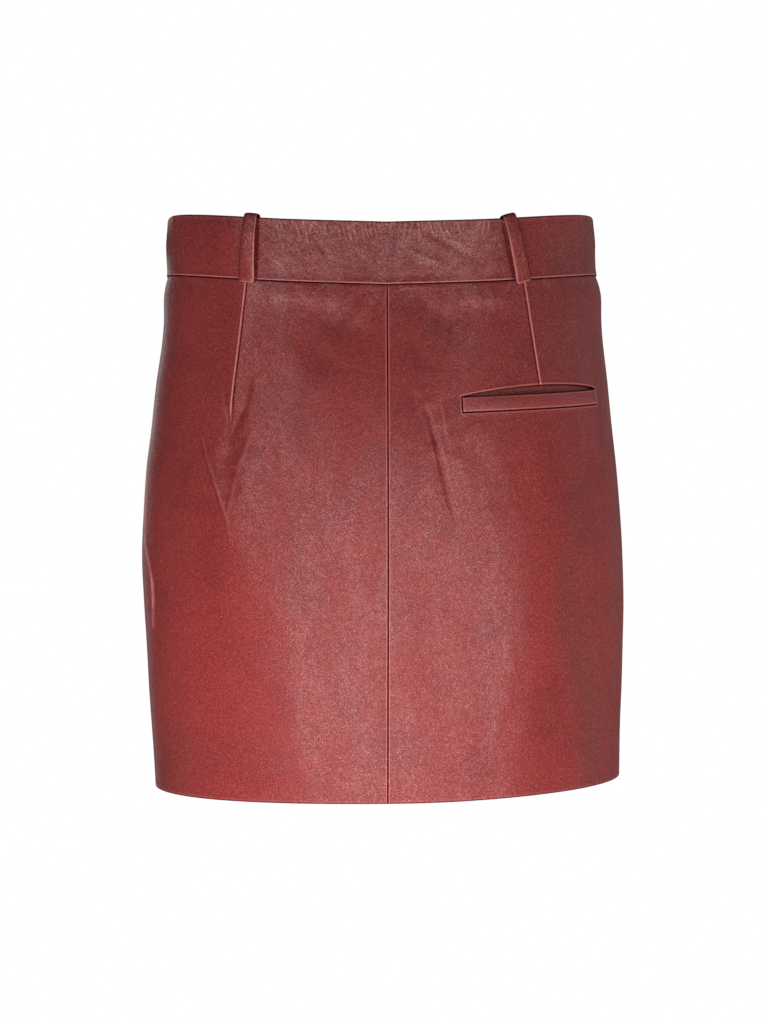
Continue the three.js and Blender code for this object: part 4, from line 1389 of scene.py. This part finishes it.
@dataclass
class BeltLoop:
    """A belt loop: a folded strip that goes over the rim and is held at the waist seam."""

    node: str
    rim_angle: float
    foot_angle: float
    cloth: Cloth
    width: float = 10.0
    foot_width: float = 12.3
    foot_shift: float = 0.9
    thickness: float = 1.4
    stand_off: float = 2.4
    rise: float = 0.7
    tuck: float = 9.0
    foot: float = 2.6
    clearance: float = 0.45
    band_face: float = 1.1
    rings: int = 96
    round_section: int = 36
    wrinkled: float = 0.44
    tint: tuple[float, float, float] = (0.05, 0.25, 0.42)

    def build(self) -> bpy.types.Object:
        """Builds the loop."""
        form = self.cloth.form
        outs, heights, rim, seam = self._line()
        share = np.clip((heights - rim) / (seam - rim), -0.4, 1.2)
        angles = self._middle(share)
        centre = form.off(angles, heights, outs)
        down = form.off(self.foot_angle, seam, 0.0) - form.off(self.rim_angle, rim, 0.0)
        across = np.cross(form.outward(angles, heights), down)
        across /= np.linalg.norm(across, axis=-1, keepdims=True)
        along = np.gradient(centre, axis=0)
        facing = np.cross(along, across)
        facing /= np.linalg.norm(facing, axis=-1, keepdims=True)
        length = summed(np.linalg.norm(np.diff(centre, axis=0), axis=-1))
        corner = rolled(length[-1] - length, 1.5) + rolled(length, 0.6)
        wide = 1 + (self.foot_width / self.width - 1) * np.clip(share, 0.0, 1.0)
        narrow = wide - 1.4 * corner / self.width
        section = self._section()
        thick = 1 - 0.55 * rolled(length[-1] - length, 0.7) / 0.7
        points = (
            centre[:, None, :]
            + across[:, None, :] * section[None, :, 0, None] * narrow[:, None, None]
            + facing[:, None, :] * section[None, :, 1, None] * thick[:, None, None]
        )
        piece = tube_object(
            "leather_" + self.node, points * MILLIMETRE, [self.cloth.grain, self.cloth.flesh],
            self._dress(section, length, heights - rim),
        )
        return self.cloth.finish(piece, [self.node])

    def _dress(self, section: Array, length: Array, above_rim: Array) -> dict[str, Array]:
        """Gives what the leather's look reads at each point of the strip.

        Args:
            section: The strip's section, across and out.
            length: How far along the strip each ring is.
            above_rim: How far above the band's rim each ring is.

        Returns:
            Three values for each ring and place round it, by name.
        """
        to_edge = self.width / 2 - np.abs(section[:, 0])
        front = section[:, 1] > 0
        to_middle = section[:, 0] * np.sin(np.radians(self.rim_angle)) < 0
        # A faint pale line on both edges, and a strong painted highlight on the edge facing the middle of the
        # skirt, where the light falls
        wear_and_highlight = (0.10 + 0.75 * to_middle) * hump(to_edge, 0.75, 0.32) * front
        # A painted highlight across the strip's lower end
        wear_and_highlight = np.maximum(wear_and_highlight, 0.5 * hump(length[-1] - length, 0.6, 0.35)[:, None] * front)
        # Painted shade under the strip and along its edges, stronger on the edge away from the middle, and
        # where the strip goes over the rim
        shade = 0.9 * (section[:, 1] < 0.0) + 0.9 * hump(to_edge, 0.0, 0.30)
        shade = shade + 0.75 * hump(to_edge, 0.1, 0.70) * ~to_middle * front
        shade = shade + 0.20 * hump(to_edge, 1.6, 0.35) * front
        shade = shade + 0.8 * hump(above_rim, self.rise + self.thickness / 2, 0.5)[:, None]
        level = np.zeros(wear_and_highlight.shape)
        lie = np.stack(np.broadcast_arrays(section[:, 0], -length[:, None], level), axis=-1)
        return {
            "lie": lie * MILLIMETRE,
            "dress": dressed(wear_and_highlight, shade, self.wrinkled),
            "tint": np.broadcast_to(self.tint, lie.shape),
        }

    def _middle(self, share: Array) -> Array:
        """Angles of the strip's middle, at shares of the way down from the rim to the waist seam."""
        towards_back = 0.0
        if Form.from_back(self.rim_angle) < 90:
            towards_back = -self.foot_shift * np.sign(np.sin(np.radians(self.rim_angle)))
        lean = self.foot_angle - self.rim_angle
        return self.rim_angle + lean * share + towards_back * np.maximum(share, 0)

    def beside(self, angle: Array, height: Array) -> Array:
        """Distance from the strip's edges to places on the band, less than 0 under the strip."""
        form = self.cloth.form
        rim = form.rim(self.rim_angle)
        share = np.clip((height - rim) / (form.seam(self.foot_angle) - rim), 0.0, 1.0)
        half = (self.width + (self.foot_width - self.width) * share) / 2
        return np.abs(angle - self._middle(share)) * form.arc_per_degree(angle, height) - half

    def _line(self) -> tuple[Array, Array, float, float]:
        """The strip's middle line: how far out and how high, and the rim's and the seam's heights."""
        form = self.cloth.form
        half_angle = self.width / 2 / float(form.arc_per_degree(self.rim_angle, 0.0))
        rim = float(max(form.rim(self.rim_angle - half_angle), form.rim(self.rim_angle + half_angle)))
        seam = float(form.seam(self.foot_angle))
        half = self.thickness / 2
        inside = -WALL - self.clearance - half
        outside = self.band_face + SEAM_GAP + half
        over = rim + self.rise + half
        middle = (rim + seam) / 2
        stations = (
            (inside, rim - self.tuck),
            (inside, rim - 0.6),
            (inside + 0.8, over - 0.15),
            ((inside + outside) / 2, over + 0.15),
            (outside - 0.6, over - 0.15),
            (outside + 0.3, rim - 0.9),
            (outside + self.stand_off * 0.55, rim - 6),
            (outside + self.stand_off * 0.95, middle + 8),
            (outside + self.stand_off, middle - 4),
            (outside + self.stand_off * 0.7, seam + 8),
            (outside + self.stand_off * 0.3, seam + 2.5),
            (outside, seam - self.foot),
        )
        outs, heights = np.array(stations).T
        travel = summed(np.hypot(np.diff(outs), np.diff(heights)))
        fine = np.linspace(0.0, travel[-1], self.rings)
        return Curve(travel, outs).at(fine), Curve(travel, heights).at(fine), rim, seam

    def _section(self) -> Array:
        """The strip's section: a flat oval, a little crowned, across and out."""
        turn = np.linspace(0, 2 * np.pi, self.round_section, endpoint=False)
        across = np.sign(np.cos(turn)) * np.abs(np.cos(turn)) ** 0.55 * self.width / 2
        out = np.sign(np.sin(turn)) * np.abs(np.sin(turn)) ** 0.7 * self.thickness / 2
        crown = 0.25 * (1 - (across / (self.width / 2)) ** 2)
        return np.stack([across, out + crown], axis=-1)


def tube_object(name: str, rings: Array, materials: Sequence[bpy.types.Material],
                attributes: dict[str, Array]) -> bpy.types.Object:
    """Makes a closed tube through rings of points, with an end cap on each.

    Args:
        name: Name of the object.
        rings: Points in metres, by ring and place round it.
        materials: The materials.
        attributes: Three values for each point, by name.

    Returns:
        The object.
    """
    count, around = rings.shape[:2]
    number = np.arange(count * around).reshape(count, around)
    beside = np.roll(number, -1, axis=1)
    faces = np.stack([number[:-1], number[1:], beside[1:], beside[:-1]], axis=-1).reshape(-1, 4)
    caps = []
    for ring, order in ((number[0], 1), (number[-1], -1)):
        for index in range(1, around // 2):
            quad = [ring[index - 1], ring[index], ring[-index - 1], ring[(-index) % around]]
            caps.append(quad[::order])
    every = np.concatenate([faces, np.array(caps)])
    values = {label: value.reshape(-1, 3) for label, value in attributes.items()}
    piece = mesh_object(name, rings.reshape(-1, 3), every, 0, materials, values)
    return outward_faces(piece)


def outward_faces(piece: bpy.types.Object) -> bpy.types.Object:
    """Turns a closed mesh's faces outwards."""
    work = bmesh.new()
    work.from_mesh(piece.data)
    bmesh.ops.remove_doubles(work, verts=work.verts, dist=1e-7)
    bmesh.ops.recalc_face_normals(work, faces=work.faces)
    work.to_mesh(piece.data)
    work.free()
    return piece


@dataclass
class Pocket:
    """The welt pocket: the folded strip and the facing behind the mouth."""

    cloth: Cloth
    shaded: bpy.types.Material
    welt_thickness: float = 2.0
    welt_proud: float = 0.35
    facing_margin: float = 12.0
    facing_depth: float = 0.5
    facing_thickness: float = 1.2
    facing_overlap: float = 2.5
    facing_columns: int = 90
    facing_rows: int = 100
    clearance: float = 0.45
    end_gap: float = 0.12

    def build(self) -> list[bpy.types.Object]:
        """Builds the welt and the facing."""
        return [self._welt(), self._facing()]

    def _welt(self) -> bpy.types.Object:
        """The folded strip in the lower part of the cut."""
        form = self.cloth.form
        places = graded((POCKET_TO - POCKET_FROM) * ARC_AT_HIP, 1.6, 0.22)
        angles = POCKET_FROM + (POCKET_TO - POCKET_FROM) * places / places[-1]
        gap = self.end_gap / float(form.arc_per_degree(POCKET_FROM, WELT_TOP_FROM))
        angles = POCKET_FROM + gap + (angles - POCKET_FROM) * (1 - 2 * gap / (POCKET_TO - POCKET_FROM))
        share = graded(WELT_HEIGHT, 0.8, 0.2) / WELT_HEIGHT
        height = PocketLines.welt_top(angles)[:, None] - WELT_HEIGHT * share[None, :]
        angle = np.broadcast_to(angles[:, None], height.shape)
        scale = form.arc_per_degree(angle, height)
        side = np.maximum(np.minimum(angle - angles[0], angles[-1] - angle) * scale, 0)
        from_top = WELT_HEIGHT * share[None, :]
        from_foot = WELT_HEIGHT - from_top
        broad = self.cloth.relief.folds(angle, height) + self.cloth.relief.soft(angle, height)
        swell = 0.35 * np.sin(np.pi * share[None, :]) + 0.05 * np.sin(angle * 1.9) * np.sin(angle * 0.7 + 1)
        out = broad + self.welt_proud + swell
        out = out - rolled(from_top, 0.7) - rolled(from_foot, 0.5) - rolled(side, 0.5)
        inner = broad + self.welt_proud - self.welt_thickness + rolled(from_top, 0.7)
        # Pale lines along the welt's edges, partly wear and partly painted highlight, and painted shade round
        # its outline
        wear_and_highlight = 0.07 + 0.40 * hump(from_top, 0.75, 0.34) + 0.50 * hump(from_foot, 0.80, 0.34)
        wear_and_highlight = wear_and_highlight + 0.45 * hump(side, 0.85, 0.34)
        shade = 3 - smoothstep(from_foot, 0.10, 0.45) - smoothstep(side, 0.15, 0.5)
        shade = shade - smoothstep(from_top, 0.1, 0.4)
        dress = dressed(wear_and_highlight, shade, np.full(height.shape, 0.25))
        wall = WallMesh(
            "leather_pocket_welt", form.off(angle, height, out), form.off(angle, height, inner),
            Grid(angle, height, form), dress,
            inner_side=np.full((len(angles) - 1, len(share) - 1), Side.GRAIN.value),
        )
        piece = wall.build([self.cloth.grain, self.cloth.flesh])
        self.cloth.finish(piece, ["pocket_welt"])
        return piece

    def _facing(self) -> bpy.types.Object:
        """The leather behind the mouth."""
        form = self.cloth.form
        overlap = self.facing_overlap
        angles = np.linspace(POCKET_FROM - overlap, POCKET_TO + overlap, self.facing_columns)
        share = np.linspace(0.0, 1.0, self.facing_rows)
        top = PocketLines.welt_top(angles)[:, None] + MOUTH_OPENING + self.facing_margin
        foot = PocketLines.welt_top(angles)[:, None] - WELT_HEIGHT - self.facing_margin
        height = top + (foot - top) * share[None, :]
        angle = np.broadcast_to(angles[:, None], height.shape)
        place = (angle - angles[0]) / (angles[-1] - angles[0])
        deep = self.facing_depth * np.sin(np.pi * place) ** 0.5 * np.sin(np.pi * share[None, :]) ** 0.8
        out = self.cloth.relief.folds(angle, height) - WALL - self.clearance - deep
        above_welt = height - PocketLines.welt_top(angle)
        below_lip = PocketLines.lip(angle) - height
        # Painted shadows along the welt's top and under the lip
        shade = 0.95 * hump(above_welt, 0.25, 0.55) + 0.85 * hump(below_lip, 0.15, 0.50)
        dress = dressed(0.0, shade, 0.1)
        wall = WallMesh(
            "leather_pocket_facing", form.off(angle, height, out),
            form.off(angle, height, out - self.facing_thickness), Grid(angle, height, form), dress,
        )
        piece = wall.build([self.shaded, self.cloth.flesh])
        self.cloth.finish(piece, ["pocket_facing"], "facing_leather")
        return piece


@dataclass(frozen=True)
class Thread:
    """Twisted polyester thread, a little duller than the leather. Colours are linear."""

    name: str = "oxblood_thread"
    colour: tuple[float, float, float] = (0.150, 0.016, 0.018)
    dark: tuple[float, float, float] = (0.060, 0.005, 0.008)

    def material(self) -> bpy.types.Material:
        """Makes the material."""
        material, recipe = blank_material(self.name)
        where = recipe.place()
        twist = recipe.add(
            "ShaderNodeTexWave", {"Vector": where, "Scale": 900.0, "Distortion": 1.5, "Detail": 1.0},
            bands_direction="DIAGONAL")
        plies = recipe.signal(twist, "Fac")
        tone = recipe.mix(plies, self.dark, self.colour)
        bump = recipe.add("ShaderNodeBump", {"Strength": 0.5, "Distance": 0.0001, "Height": plies})
        shader = recipe.add(
            "ShaderNodeBsdfPrincipled",
            {"Base Color": tone, "Roughness": 0.55, "Normal": bump.outputs[0], "Sheen Weight": 0.1},
        )
        recipe.add("ShaderNodeOutputMaterial", {"Surface": shader.outputs[0]})
        return material


@dataclass
class StitchRow:
    """A row of lockstitches round the skirt, at a height from the waist seam and a distance off the form."""

    name: str
    above_seam: float
    out: float
    cloth: Cloth
    thread: bpy.types.Material
    pitch: float = 2.6
    length: float = 1.9
    thickness: float = 0.42
    line_step: float = 0.75
    seed: int = 7

    def build(self) -> bpy.types.Object:
        """Builds the row."""
        form = self.cloth.form
        angles = np.arange(0.0, 360.0, self.line_step)
        heights = form.seam(angles) + self.above_seam
        line = form.off(angles, heights, np.full(len(angles), self.out)) * MILLIMETRE
        number = np.arange(len(angles))
        guide = bpy.data.meshes.new(self.name + "_line")
        guide.from_pydata(line.tolist(), np.stack([number, np.roll(number, -1)], axis=-1).tolist(), [])
        row = bpy.data.objects.new(self.name, guide)
        bpy.context.scene.collection.objects.link(row)
        modifier = row.modifiers.new("stitches", "NODES")
        modifier.node_group = self._stitches()
        wanted = {"Pitch": self.pitch * MILLIMETRE, "Length": self.length * MILLIMETRE,
                  "Thickness": self.thickness * MILLIMETRE, "Seed": self.seed}
        for socket in modifier.node_group.interface.items_tree:
            if socket.name in wanted:
                modifier[socket.identifier] = wanted[socket.name]
        finished = row.evaluated_get(bpy.context.evaluated_depsgraph_get())
        mesh = bpy.data.meshes.new_from_object(finished)
        row.modifiers.remove(modifier)
        row.data = mesh
        mesh.polygons.foreach_set("use_smooth", np.ones(len(mesh.polygons), bool))
        bpy.data.meshes.remove(guide)
        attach(row, "root")
        log.info("%s: %d triangles", row.name, sum(len(face.vertices) - 2 for face in mesh.polygons))
        return row

    def _stitches(self) -> bpy.types.NodeTree:
        """The nodes that lay one small capsule for each stitch along the line."""
        tree = bpy.data.node_groups.new("lockstitches", "GeometryNodeTree")
        tree.interface.new_socket("Geometry", in_out="INPUT", socket_type="NodeSocketGeometry")
        for name in ("Pitch", "Length", "Thickness"):
            tree.interface.new_socket(name, in_out="INPUT", socket_type="NodeSocketFloat")
        tree.interface.new_socket("Seed", in_out="INPUT", socket_type="NodeSocketInt")
        tree.interface.new_socket("Geometry", in_out="OUTPUT", socket_type="NodeSocketGeometry")
        recipe = Recipe(tree)
        given = recipe.add("NodeGroupInput").outputs
        curve = recipe.add("GeometryNodeMeshToCurve", {"Mesh": given["Geometry"]})
        even = recipe.add(
            "GeometryNodeResampleCurve", {"Curve": curve.outputs[0], "Length": given["Pitch"]}, mode="LENGTH")
        points = recipe.add("GeometryNodeCurveToPoints", {"Curve": even.outputs[0]}, mode="EVALUATED")
        turned = recipe.add(
            "FunctionNodeAlignRotationToVector", {"Vector": points.outputs["Tangent"]}, axis="Z")
        capsule = recipe.add("GeometryNodeMeshUVSphere", {"Segments": 6, "Rings": 5, "Radius": 0.5})
        uneven = recipe.add(
            "FunctionNodeRandomValue", {2: 0.90, 3: 1.08, "Seed": given["Seed"]}, data_type="FLOAT")
        size = recipe.add(
            "ShaderNodeCombineXYZ", {0: given["Thickness"], 1: given["Thickness"], 2: given["Length"]})
        scaled = recipe.scaled(size.outputs[0], uneven.outputs[1])
        laid = recipe.add(
            "GeometryNodeInstanceOnPoints",
            {"Points": points.outputs["Points"], "Instance": capsule.outputs["Mesh"],
             "Rotation": turned.outputs[0], "Scale": scaled},
        )
        real = recipe.add("GeometryNodeRealizeInstances", {"Geometry": laid.outputs[0]})
        dressed = recipe.add(
            "GeometryNodeSetMaterial", {"Geometry": real.outputs[0], "Material": self.thread})
        recipe.add("NodeGroupOutput", {0: dressed.outputs[0]})
        return tree


@dataclass
class Studio:
    """Camera, lights, surroundings and floor."""

    camera_distance: float = 2.6
    camera_turn: float = -2.0
    camera_height: float = -0.024
    lens: float = 130.57
    sensor: float = 36.0
    sees_to: float = 60.0
    aim: tuple[float, float, float] = (0.00175, -0.00006, -0.1803)
    floor_height: float = -0.80
    floor_radius: float = 1.15
    floor_step: int = 5

    def build(self) -> None:
        """Sets up the whole studio."""
        self._camera()
        self._lights()
        self._world()
        self._floor()
        bpy.context.scene.view_settings.view_transform = "Standard"

    def _camera(self) -> None:
        """The camera at the photograph's viewing angle."""
        turn = math.radians(self.camera_turn)
        place = Vector((
            self.camera_distance * math.sin(turn),
            -self.camera_distance * math.cos(turn),
            self.camera_height,
        ))
        data = bpy.data.cameras.new("camera")
        data.lens = self.lens
        data.sensor_width = self.sensor
        data.clip_end = self.sees_to
        camera = bpy.data.objects.new("camera", data)
        camera.location = place
        camera.rotation_mode = "QUATERNION"
        camera.rotation_quaternion = (Vector(self.aim) - place).to_track_quat("-Z", "Y")
        bpy.context.scene.collection.objects.link(camera)
        bpy.context.scene.camera = camera

    @staticmethod
    def _panel(name: str, place: tuple, target: tuple, size: tuple[float, float], watts: float) -> None:
        """Adds one soft panel light that faces a point and isn't reflected, as the surroundings are."""
        data = bpy.data.lights.new(name, "AREA")
        data.shape = "RECTANGLE"
        data.size = size[0]
        data.size_y = size[1]
        data.energy = watts
        light = bpy.data.objects.new(name, data)
        light.location = place
        light.rotation_mode = "QUATERNION"
        light.rotation_quaternion = (Vector(target) - Vector(place)).to_track_quat("-Z", "Y")
        light.visible_camera = False
        light.visible_glossy = False
        bpy.context.scene.collection.objects.link(light)

    def _lights(self) -> None:
        """A broad low light close in front, and weaker ones round the skirt."""
        self._panel("low_front", (-0.14, -0.72, -0.66), (0.0, -0.10, -0.28), (0.9, 0.3), 7.5)
        self._panel("far_front", (-0.5, -2.4, -0.2), (0.0, 0.0, -0.17), (1.6, 1.0), 5.5)
        self._panel("low_back", (0.05, 0.85, -0.55), (0.0, 0.10, -0.22), (1.1, 0.3), 8.0)
        self._panel("left_side", (-1.2, 0.10, -0.1), (-0.15, 0.0, -0.17), (0.6, 0.9), 3.0)
        self._panel("right_side", (1.3, 0.0, -0.25), (0.15, 0.0, -0.20), (0.6, 0.9), 7.2)
        self._panel("overhead", (0.0, 0.3, 1.3), (0.0, 0.0, -0.1), (1.0, 1.0), 3.0)

    def _world(self) -> None:
        """Soft surroundings.

        The camera sees a white backdrop. The leather reflects a wide bright screen behind the camera,
        dimmer walls and a narrow bright strip behind the skirt's left side.
        """
        world = bpy.data.worlds.new("studio")
        world.use_nodes = True
        world.node_tree.nodes.clear()
        recipe = Recipe(world.node_tree)
        direction = recipe.add("ShaderNodeTexCoord").outputs["Generated"]
        x, y, z = recipe.parts(direction)
        turn = recipe.signal(recipe.add("ShaderNodeMath", {0: x, 1: y * -1.0}, operation="ARCTAN2"))
        turn = turn / math.tau + 0.5
        walls = recipe.add(
            "ShaderNodeValToRGB", {"Fac": turn},
            stops=self._stops(
                (-180, 0.02), (-170, 0.04), (-165, 0.30), (-158, 0.25), (-152, 0.06), (-100, 0.10),
                (-60, 0.08), (-20, 0.05), (10, 0.06), (34, 0.25), (60, 0.18), (78, 0.34), (112, 0.30),
                (134, 0.17), (150, 0.13), (165, 0.10), (180, 0.02),
            ),
        )
        lean = z.ramp(0.15, -0.16, 0.0, 14 / 360) + z.ramp(-0.16, -0.24, 0.0, 10 / 360)
        left_edge = (turn - lean).ramp(self._share(-63), self._share(-57))
        drawn_in = turn + z * 0.07 + z.ramp(-0.17, -0.24, 0.0, 10 / 360)
        right_edge = drawn_in.ramp(self._share(45), self._share(51), 1.0, 0.0)
        screen = left_edge * right_edge * z.ramp(0.10, 0.27, 1.0, 0.0) * z.ramp(-0.75, -0.45)
        upper_left = left_edge * turn.ramp(self._share(-50), self._share(-14), 1.0, 0.0) * z.ramp(0.10, 0.22)
        upper_right = right_edge * turn.ramp(self._share(16), self._share(32)) * z.ramp(0.27, 0.35)
        upper = (upper_left + upper_right) * z.ramp(0.50, 0.62, 1.0, 0.0)
        left_rim = turn.ramp(self._share(-172), self._share(-166))
        left_rim = left_rim * turn.ramp(self._share(-158), self._share(-151), 1.0, 0.0)
        left_rim = left_rim * z.ramp(-0.13, 0.01) * 0.35
        reflected = recipe.signal(walls, "Color") + screen * (2.6 - z * 2.6) + upper * 1.6 + left_rim
        path = recipe.add("ShaderNodeLightPath")
        seen = recipe.signal(path, "Is Camera Ray")
        diffuse = recipe.signal(path, "Is Diffuse Ray")
        strength = seen + (1 - seen) * (diffuse * 0.11 + (1 - diffuse) * reflected)
        background = recipe.add("ShaderNodeBackground", {"Color": (1.0, 1.0, 1.0), "Strength": strength})
        recipe.add("ShaderNodeOutputWorld", {"Surface": background.outputs[0]})
        world.cycles.sampling_method = "NONE"
        bpy.context.scene.world = world

    @staticmethod
    def _share(degrees: float) -> float:
        """A direction, in degrees to the right of the camera's, as a share of a full turn."""
        return 0.5 + degrees / 360

    @classmethod
    def _stops(cls, *levels: tuple[float, float]) -> list[tuple[float, tuple[float, float, float]]]:
        """Brightness at directions, as a ramp's stops."""
        return [(cls._share(degrees), (level, level, level)) for degrees, level in levels]

    def _floor(self) -> None:
        """A plain pale floor below the skirt."""
        turn = np.radians(np.arange(0, 360, self.floor_step))
        rim = np.column_stack([np.cos(turn), np.sin(turn)]) * self.floor_radius
        points = np.column_stack([rim, np.full(len(turn), self.floor_height)])
        material = bpy.data.materials.new("pale_floor")
        material.use_nodes = True
        shader = material.node_tree.nodes["Principled BSDF"]
        shader.inputs["Base Color"].default_value = (0.45, 0.45, 0.45, 1.0)
        shader.inputs["Roughness"].default_value = 0.9
        shader.inputs["Emission Color"].default_value = (1.0, 1.0, 1.0, 1.0)
        shader.inputs["Emission Strength"].default_value = 0.45
        floor = mesh_object("floor", points, np.arange(len(turn))[None, :], 0, [material])


def main() -> None:
    """Builds the skirt piece by piece, then the studio."""
    logging.basicConfig(level=logging.INFO, format="%(name)s: %(message)s")
    form = Form(SECTIONS, BAND_EDGES)
    leather = Leather()
    cloth = Cloth(form, Relief(form), leather.material(), Flesh().material())
    # A browner, less glossy copy of the leather for the pocket facing, painted for the shade inside the mouth
    shaded = Leather(
        name="pocket_nappa_shaded_copy", colour=(0.285, 0.062, 0.055), lively=(0.300, 0.060, 0.050),
        deep=(0.240, 0.042, 0.038), brown=(0.250, 0.070, 0.055), gloss=0.30,
    ).material()
    half_round = 360 - SIDE_SEAM
    back_loops = (
        BeltLoop("loop_back_left", -46.8, -47.9, cloth),
        BeltLoop("loop_back_right", 43.1, 47.2, cloth),
    )
    front_loops = (
        BeltLoop("loop_front_right", 137.5, 136.5, cloth),
        BeltLoop("loop_front_left", 222.5, 223.5, cloth),
    )
    bands = [
        Waistband(
            "waistband_back", -SIDE_SEAM, SIDE_SEAM, cloth, creases=BAND_CREASES, loops=back_loops,
            columns=(Fine(-43.0, 38.0, 0.75), Fine(-50.5, -43.0, 0.5), Fine(40.5, 50.0, 0.5)),
        ),
        Waistband("waistband_front", SIDE_SEAM, half_round, cloth, coarse=2.4, loops=front_loops),
    ]
    made_bands = [band.build() for band in bands]
    made_loops = [loop.build() for loop in (*back_loops, *front_loops)]
    for piece, band, with_loops in zip(made_bands, bands, (made_loops[:2], made_loops[2:])):
        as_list(with_loops)
    hem_fold = Fine(HEM_HEIGHT + HEM_TURN_UP + 1.0, HEM_HEIGHT + HEM_TURN_UP - 1.0, 0.6)
    panels = [
        Panel(
            "panel_back_left", -SIDE_SEAM, 0.0,
            columns=(Fine(-57.0, -39.0, 0.8), Fine(-47.9, -46.7, 0.22), Fine(-4.2, -3.5, 0.5)),
            rows=(Fine(-100.0, -196.0, 1.1), hem_fold), cloth=cloth,
        ),
        Panel(
            "panel_back_right", 0.0, SIDE_SEAM,
            columns=(Fine(9.0, 21.0, 0.8), Fine(46.1, 48.3, 0.24), Fine(3.5, 4.2, 0.5)),
            rows=(Fine(-99.0, -178.0, 1.2), hem_fold), cloth=cloth, has_pocket=True,
        ),
        Panel(
            "panel_front", SIDE_SEAM, half_round,
            columns=(Fine(136.8, 138.7, 0.35), Fine(221.3, 223.2, 0.35)),
            rows=(hem_fold,), cloth=cloth, coarse=2.7, flat=(0.47, 0.40),
            hangs_from="leather_waistband_front",
        ),
    ]
    for panel in panels:
        panel.build()
    Pocket(cloth, shaded).build()
    thread = Thread().material()
    StitchRow("waist_seam_stitches", -0.40, -0.20, cloth, thread).build()
    StitchRow("band_inner_stitches", 4.0, -1.75, cloth, thread, pitch=3.2, length=2.4).build()
    Studio().build()


if __name__ == "__main__":
    main()
